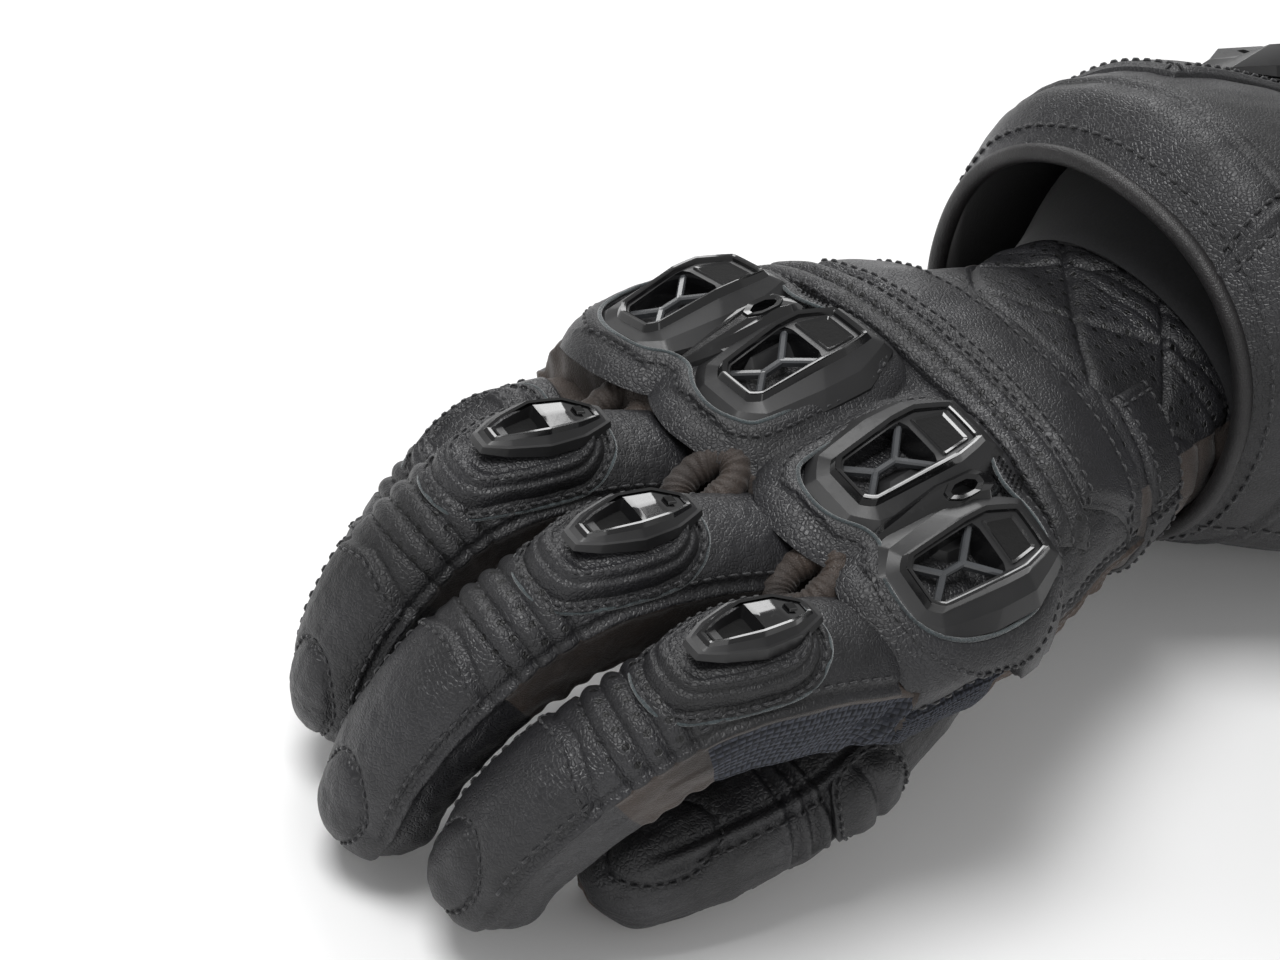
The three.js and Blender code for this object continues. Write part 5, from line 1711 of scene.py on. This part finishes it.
@dataclass
class Thumb:
    """The thumb: a smooth strip inside, a folded seam, a stuffed outer panel and a stitched tip."""

    split: float = 30.0

    def relief(self, s: Grid, t: Grid) -> Grid:
        """Height over the bare skin: a folded seam, joint folds, a nail pad and soft folds."""
        t = np.mod(t, TAU)
        r = 11.0
        seams = np.minimum(np.abs(t - 0.9), np.minimum(np.abs(t - 2.5), np.abs(t - 5.4))) * r
        roll = 0.9 * bump(seams, 0.8) - 0.4 * bump(seams - 1.7, 0.6)
        joint = (inside(s, THUMB_BEND[0] - 1, THUMB_BEND[1] + 1, 2) * 0.7
                 * np.sin(TAU * (s - THUMB_BEND[0]) / 3.6) * (np.cos(t - math.pi / 2) > -0.2))
        u, v = (t - 1.2) * r / 7.0, (s - THUMB.length + 2.5) / 8.5
        nail = np.sqrt(u * u + v * v)
        pillow = np.where(nail < 1, 1.1 * (1 - nail ** 2.4), 0) - 0.5 * bump((nail - 1.04) * 7, 0.6)
        soft = 0.22 * ripple(s, t * r, 9.0, 61) + 0.09 * ripple(s, t * r, 3.8, 62)
        fade = 1 - step(s, THUMB.end - 3, THUMB.end)
        return (roll * (1 - step(s, THUMB.length - 3, THUMB.length + 3)) + joint + pillow + soft) * fade

    def skin(self, name: str, low: float, high: float, rows: int) -> Stock:
        """A stretch of the thumb's skin: grained leather, with suede below."""
        stock = Stock(name)
        s = np.linspace(low, high, rows + 1)[:, None]
        t = (np.arange(144) / 144 * TAU)[None]
        s, t = np.broadcast_arrays(s, t)
        points = THUMB.lift(s, t, self.relief(s, t))
        uv = np.stack([t * 11.0, s], -1)
        mid = np.mod(t[:-1] + math.pi / 144, TAU)
        kind = np.where((mid > 3.4) & (mid < 5.4), 1, np.where((mid > 0.9) & (mid < 2.5), 2, 0))
        stock.grid(points, "grain", uv, ring=True, outward=points - THUMB.core(s), finish_of=kind,
                   others=("suede", "grain"))
        return stock

    def rows(self, stock: Stock, low: float, high: float) -> None:
        """Stitches on both sides of the folded seam."""
        s = np.linspace(low, high, 50)
        for turn in (0.9 + 0.2, 0.9 - 0.2, 5.4 + 0.2):
            t = np.full_like(s, turn)
            stitches(stock, THUMB.lift(s, t, self.relief(s, t) + 0.12), THUMB.normal(s, t), pitch=2.4,
                     long=1.6, thick=0.26)

    def build(self) -> None:
        """Makes the thumb's pieces, and fixes its outer pad to the thumb's base."""
        rear = self.skin("thumb_rear", -5.0, self.split, 110)
        self.rows(rear, 14, self.split)
        made = rear.build()
        near, far = (Vector(to_row(THUMB.core(np.array(s)))) for s in (9.0, 25.0))
        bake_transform(made)
        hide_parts("thumb_root_gusset", "thumb_sleeve")
        front = self.skin("thumb_front", self.split, THUMB.end, 170)
        self.rows(front, self.split, THUMB.length - 6)
        a = np.linspace(0, TAU, 90)[:-1]
        s, t = THUMB.length - 2.5 + 9.2 * np.sin(a), 1.2 + 7.6 / 11 * np.cos(a)
        stitches(front, THUMB.lift(s, t, self.relief(s, t) + 0.12), THUMB.normal(s, t), pitch=2.1,
                 long=1.45, thick=0.25, closed=True)
        made = front.build()
        near, far = (Vector(to_row(THUMB.core(np.array(s)))) for s in THUMB_BEND)
        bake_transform(made)
        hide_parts("thumb_joint_gusset", "thumb_tip")
        self.pad()
        log.info("thumb built")

    def pad(self) -> None:
        """The stuffed outer panel, sewn down round its edge and across its middle."""
        patch = Patch(THUMB, 29.5, 0.15,
                      ((4, -9), (8.5, -6), (8.5, 3), (4, 6), (-4, 6), (-8.5, 3), (-8.5, -6), (-4, -9)))
        stock = Stock("thumb_outer_pad")
        patch.fill(stock, 24, lambda inset, at: 0.7 + 1.5 * step(inset, 0.8, 4.0)
                   - 0.9 * bump(at[..., 1] + 1.5, 0.8) * step(inset, 0.5, 2.0)
                   + 0.12 * ripple(at[..., 0], at[..., 1], 5.0, 66), "grain", wall=-0.5)
        line, off = patch.loop(-0.9, 0.95)
        stitches(stock, line, off, pitch=2.1, long=1.5, thick=0.25, closed=True)
        padded_piece(stock.build(), "thumb_base", ("thumb_pad",))


@dataclass
class Palm:
    """The palm's hard slider on its suede pad."""

    x: float = -20.0
    y: float = 40.0

    def build(self) -> None:
        """Makes and fixes the slider and its pad."""
        moulded("palm_slider_block", ("palm_slider",), "hand", "satin", "polished", bevel_mm=0.5)
        half = ((13, -19), (18, -11), (18, 11), (13, 19))
        ring = [(x, y) for x, y in half] + [(-x, y) for x, y in reversed(half)]
        outline = [(px + self.x, py + self.y) for px, py in ring]
        patch = PlanPatch(HAND, self.y, -1.0, outline, palm=True)
        stock = Stock("palm_slider_island")
        patch.fill(stock, 20, lambda inset, at: 0.5 + 0.9 * step(inset, 0.8, 2.6)
                   + 0.08 * ripple(at[..., 0], at[..., 1], 5.0, 67), "suede", wall=-0.5)
        line, off = patch.loop(-1.0, 0.75)
        stitches(stock, line, off, pitch=2.3, long=1.6, thick=0.26, closed=True)
        padded_piece(stock.build(), "hand", ("palm_slider_pad",))
        log.info("palm built")


@dataclass
class Wrist:
    """The gathered wrist, its closing strap and the strap's loose tab."""

    front: float = 60.0
    rear: float = 93.5

    def relief(self, s: Grid, t: Grid) -> Grid:
        """Height over the bare skin: crossed seams and a crumple on the back, pleats elsewhere, folds."""
        t = np.mod(t, TAU)
        back = inside(t, 0.45, math.pi - 0.45, 0.15)
        r = 27.0
        across = (t - math.pi / 2) * r
        pitch = 23.0
        one, two = (np.abs(np.sin((s - 74 + k * across) * math.pi / pitch)) * pitch / math.pi
                    for k in (1.0, -1.0))
        seams = (-0.75 * bump(one, 0.75) - 0.75 * bump(two, 0.75)
                 + 0.35 * np.minimum(np.minimum(one, two) / 4, 1))
        crumple = 0.7 * step(s, 82, 86) * np.abs(np.sin((s + 0.25 * across) * math.pi / 5)) ** 0.7
        pleat = np.abs(np.sin(math.pi * (s - self.front) / 5.5))
        soft = 0.25 * ripple(s, t * r, 10.0, 51)
        fade = step(s, self.front, self.front + 2)
        return fade * (back * (seams + crumple) + (1 - back) * (1.1 * pleat ** 0.6 - 0.4)) + soft * fade

    def build(self) -> None:
        """Makes the wrist's pieces, and fixes the strap's tab to its body."""
        stock = Stock("wrist_gather")
        s = np.linspace(self.front, self.rear, 110)[:, None]
        t = (np.arange(288) / 288 * TAU)[None]
        s, t = np.broadcast_arrays(s, t)
        outer = HAND.lift(s, t, self.relief(s, t))
        inner = HAND.lift(s[::-1], t, np.full_like(s, -2.0))
        whole = np.concatenate([outer, inner])
        core = np.concatenate([HAND.core(s), HAND.core(s[::-1])])
        away = whole - core
        away[len(outer):] *= -1
        uv = np.stack([np.concatenate([t, t]) * 27.0, np.concatenate([s, 2 * self.rear - s[::-1]])], -1)
        mid = np.mod(t[0] + math.pi / 288, TAU)
        back = (mid > 0.45) & (mid < math.pi - 0.45)
        kind = np.where(np.arange(len(whole) - 1)[:, None] >= len(outer) - 1, 2, np.where(back[None], 0, 1))
        stock.grid(whole, "perforated", uv, ring=True, outward=away, finish_of=kind,
                   others=("soft", "lining"))
        made = stock.build()
        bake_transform(made)
        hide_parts("wrist_sleeve")
        self.strap()
        self.tab()
        log.info("wrist built")

    def belt(self, stock: Stock, t0: float, t1: float, y0: float, y1: float, finish: str,
             lift: float = 0.9) -> None:
        """A strap round the wrist from angle t0 to t1, with folded stitched edges."""
        t = np.linspace(t0, t1, max(int(abs(t1 - t0) * 44), 24))
        round_skin = lambda a, y, h: HAND.lift(y, a, h)
        body = strip(stock, (np.full_like(t, y0), np.full_like(t, y1)), t,
                     lambda u, v: lift + 0.75 * inside(v, 0.04, 0.96, 0.08) * inside(u, 0.01, 0.99, 0.02)
                     + 0.08 * ripple(u * 80, v * 13, 7.0, 52), finish, rows=30, skin=round_skin)
        v = np.linspace(0, 1, 30)
        y = np.broadcast_to(y0 + (y1 - y0) * v, body.shape[:2])
        off = HAND.normal(y, np.broadcast_to(t[:, None], y.shape))
        edge_rows(stock, body, off, (3,), (Edge.FRONT, Edge.REAR), pitch=2.4, long=1.65, thick=0.27)
        edge_rows(stock, body, off, (3,), (Edge.START, Edge.END), pitch=2.4, long=1.65, thick=0.27)

    def strap(self) -> None:
        """The strap under the wrist and up its thumb side."""
        stock = Stock("wrist_strap_belt")
        self.belt(stock, -math.pi - 0.18, 0.20, 62.0, 75.0, "grain")
        made = stock.build()
        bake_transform(made)
        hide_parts("wrist_strap")

    def tab(self) -> None:
        """The strap's loose end."""
        stock = Stock("strap_tab_end")
        self.belt(stock, 0.22, 1.02, 63.0, 74.0, "grain", lift=1.0)
        made = stock.build()
        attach(made, "strap_tab")
        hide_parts("strap_tab")


@dataclass
class Gauntlet:
    """The flared cuff: a leather shell piped at both ends, a lining, a closing flap and two hard guards."""

    front: float = 84.0
    rear: float = 184.0

    def relief(self, s: Grid, t: Grid) -> Grid:
        """Height over the bare skin: panel seams, one of them slanting, and broad soft dents."""
        t = np.mod(t, TAU)
        r = 46.0
        slant = np.abs((t - (1.02 + 0.0075 * (s - 84))) * r)
        side = np.abs(t - 3.55) * r
        under = np.abs(t - 5.7) * r
        ring = np.abs(s - (97 + 2.5 * np.sin(t)))
        seams = sum(0.6 * bump(d, 0.9) - 0.35 * bump(d - 1.9, 0.6) for d in (slant, side, under, ring))
        return seams + 0.45 * ripple(s, t * r, 42.0, 41) + 0.12 * ripple(s, t * r, 9.0, 42)

    def shell(self) -> None:
        """Outer leather and its folded inner face, as one closed wall."""
        stock = Stock("cuff_shell")
        s = np.linspace(self.front, self.rear, 180)[:, None]
        t = (np.arange(320) / 320 * TAU)[None]
        s, t = np.broadcast_arrays(s, t)
        outer = CUFF.lift(s, t, self.relief(s, t))
        inner = CUFF.lift(s[::-1], t, np.full_like(s, -1.8))
        whole = np.concatenate([outer, inner])
        away = whole - np.concatenate([CUFF.core(s), CUFF.core(s[::-1])])
        away[len(outer):] *= -1
        uv = np.stack([np.concatenate([t, t]) * 46.0, np.concatenate([s, 2 * self.rear - s[::-1]])], -1)
        kind = np.broadcast_to((np.arange(len(whole) - 1) >= len(outer) - 1)[:, None].astype(int),
                               (len(whole) - 1, 320))
        stock.grid(whole, "grain", uv, ring=True, outward=away, finish_of=kind, others=("lining",))
        row = np.linspace(self.front + 2, self.rear - 2, 200)
        for place in (1.02 + 0.0075 * (row - 84) + 0.055, 1.02 + 0.0075 * (row - 84) - 0.055,
                      np.full_like(row, 3.55 + 0.05), np.full_like(row, 5.7 + 0.05)):
            stitches(stock, CUFF.lift(row, place, self.relief(row, place) + 0.15), CUFF.normal(row, place))
        a = np.linspace(0, TAU, 260)[:-1]
        for y in (self.front + 3.2, self.rear - 3.2):
            at = np.full_like(a, y)
            stitches(stock, CUFF.lift(at, a, self.relief(at, a) + 0.15), CUFF.normal(at, a), closed=True)
        made = stock.build()
        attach(made, "cuff")
        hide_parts("cuff_outer")

    def edges(self) -> None:
        """Leather piping rolled over both ends."""
        a = np.linspace(0, TAU, 301)[:-1]
        for y, node_name in ((self.front - 0.3, "cuff_front_binding"),
                             (self.rear + 0.3, "cuff_rear_binding")):
            stock = Stock(f"{node_name}_roll")
            at = np.full_like(a, min(max(y, self.front), self.rear))
            line = CUFF.lift(at, a, -0.8)
            line[:, 1] = y
            cordon(stock, line, CUFF.normal(at, a), 1.75, "piping", closed=True, flat=1.0, around=16)
            made = stock.build()
            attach(made, "cuff")
            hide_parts(node_name)

    def lining(self) -> None:
        """The soft lining inside the cuff, a thin wall with shallow quilting."""
        stock = Stock("cuff_lining_cloth")
        s = np.linspace(91, 183, 70)[:, None]
        t = (np.arange(200) / 200 * TAU)[None]
        s, t = np.broadcast_arrays(s, t)
        puff = (0.8 * np.abs(np.sin((s + t * 44) * math.pi / 16))
                * np.abs(np.sin((s - t * 44) * math.pi / 16)) + 0.4 * ripple(s, t * 44, 20.0, 43))
        outer = LINING.lift(s, t, np.full_like(s, -0.9))
        inner = LINING.lift(s[::-1], t, -1.4 - 0.5 * puff[::-1])
        whole = np.concatenate([outer, inner])
        away = whole - np.concatenate([LINING.core(s), LINING.core(s[::-1])])
        away[len(outer):] *= -1
        stock.grid(whole, "lining", ring=True, outward=away)
        made = stock.build()
        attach(made, "cuff")
        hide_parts("cuff_lining")

    def flap(self) -> None:
        """The closing flap on the outer side, with a stitched border, and its hard guard."""
        stock = Stock("cuff_closing_flap")
        t = np.linspace(1.99, 3.26, 90)
        round_skin = lambda a, y, h: CUFF.lift(y, a, h)
        body = strip(stock, (np.full_like(t, 108.0), np.full_like(t, 176.0)), t,
                     lambda u, v: 0.9 + 1.0 * inside(v, 0.02, 0.98, 0.03) * inside(u, 0.015, 0.985, 0.03)
                     - 0.45 * bump((np.minimum(v, 1 - v) - 0.06) * 68, 0.7)
                     + 0.2 * ripple(u * 60, v * 68, 22.0, 44), "grain", rows=100, skin=round_skin)
        y = np.broadcast_to(108 + 68 * np.linspace(0, 1, 100), body.shape[:2])
        off = CUFF.normal(y, np.broadcast_to(t[:, None], y.shape))
        edge_rows(stock, body, off, (4,), (Edge.FRONT, Edge.REAR, Edge.START, Edge.END))
        made = stock.build()
        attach(made, "cuff_flap")
        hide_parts("cuff_flap")
        moulded("flap_guard_plate", ("ulna_guard",), "cuff_flap", "satin", "polished", bevel_mm=0.5)

    def guard(self) -> None:
        """The large hard guard on its stuffed island."""
        moulded("cuff_guard_plate", ("cuff_guard",), "cuff", "satin", "polished", bevel_mm=0.6)
        half = ((8, -28), (15.5, -17), (18, 6), (13, 26))
        ring = [(x, y) for x, y in half] + [(-x, y) for x, y in reversed(half)]
        patch = Patch(CUFF, 124.0, math.radians(48), ring, around=200)
        stock = Stock("cuff_guard_island")
        patch.fill(stock, 26, lambda inset, at: 0.8 + 1.3 * step(inset, 0.8, 3.0)
                   + 0.1 * ripple(at[..., 0], at[..., 1], 8.0, 45), "grain", wall=-0.6)
        line, off = patch.loop(-1.0, 1.1)
        stitches(stock, line, off, closed=True)
        padded_piece(stock.build(), "cuff", ("cuff_guard_pad",))

    def build(self) -> None:
        """Makes and fixes the cuff's pieces."""
        self.shell()
        self.edges()
        self.lining()
        self.flap()
        self.guard()
        log.info("cuff built")


# ---------------------------------------------------------------- scene
@dataclass(frozen=True)
class Studio:
    """Pale floor, soft lights and the camera, all in metres in the row frame."""

    eye: tuple[float, float, float] = (0.28027, -0.41717, 0.39768)
    right: tuple[float, float, float] = (0.622, 0.7527, 0.2151)
    up: tuple[float, float, float] = (-0.5865, 0.266, 0.7648)
    lens: float = 98.5

    def camera(self) -> None:
        """Places the camera by its right and up directions."""
        data = bpy.data.cameras.new("camera")
        data.lens, data.sensor_width = self.lens, 36.0
        data.clip_start, data.clip_end = 0.01, 20.0
        made = bpy.data.objects.new("camera", data)
        bpy.context.scene.collection.objects.link(made)
        r, u = Vector(self.right).normalized(), Vector(self.up)
        back = r.cross(u).normalized()
        u = back.cross(r)
        turn = Matrix((r, u, back)).transposed().to_4x4()
        turn.translation = Vector(self.eye)
        made.matrix_world = turn
        bpy.context.scene.camera = made

    def floor(self) -> None:
        """A large pale matt floor with a faint mottle."""
        mesh = bpy.data.meshes.new("floor")
        mesh.from_pydata([(-6, -6, 0), (6, -6, 0), (6, 6, 0), (-6, 6, 0)], [], [(0, 1, 2, 3)])
        made = bpy.data.objects.new("floor", mesh)
        bpy.context.scene.collection.objects.link(made)
        material, tree, shader = bare("pale_card")
        at = node(tree, "ShaderNodeTexCoord").outputs["Object"]
        mottle = node(tree, "ShaderNodeTexNoise", {"Scale": 7.0, "Detail": 3.0}, Vector=at).outputs["Fac"]
        tree.links.new(mixed(tree, mottle, linear("f3f3f3"), linear("f7f7f7")), shader.inputs["Base Color"])
        shader.inputs["Roughness"].default_value = 0.9
        mesh.materials.append(material)

    def lamp(self, name: str, place: tuple[float, float, float], size: float, power: float,
             to: tuple[float, float, float] = (0, -0.02, 0.03)) -> None:
        """One soft square lamp aimed at a point."""
        data = bpy.data.lights.new(name, "AREA")
        data.shape, data.size, data.energy = "SQUARE", size, power
        made = bpy.data.objects.new(name, data)
        bpy.context.scene.collection.objects.link(made)
        made.location = place
        made.rotation_euler = (Vector(to) - Vector(place)).to_track_quat("-Z", "Y").to_euler()

    def build(self) -> None:
        """Makes the camera, floor, lamps and sky."""
        self.camera()
        self.floor()
        self.lamp("key", (-0.15, -0.35, 1.0), 0.45, 8.0)
        self.lamp("rim", (-0.8, 0.5, 0.7), 0.6, 6)
        self.lamp("fill", (0.9, -0.5, 0.6), 0.8, 2)
        world = bpy.data.worlds.new("sky")
        bpy.context.scene.world = world
        world.use_nodes = True
        sky = next(n for n in world.node_tree.nodes if n.type == "BACKGROUND")
        sky.inputs[0].default_value = (1.0, 1.0, 1.0, 1.0)
        sky.inputs[1].default_value = 0.38
        bpy.context.scene.view_settings.view_transform = "Standard"


def main() -> None:
    """Builds the glove piece by piece, then the studio."""
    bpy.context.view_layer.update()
    for name in FINGER_NAMES:
        Finger(name, PLANS[name]).build()
    for part in (Hand(), KnuckleArmour(), Thumb(), Palm(), Wrist(), Gauntlet()):
        part.build()
    Studio().build()


if __name__ == "__main__":
    main()
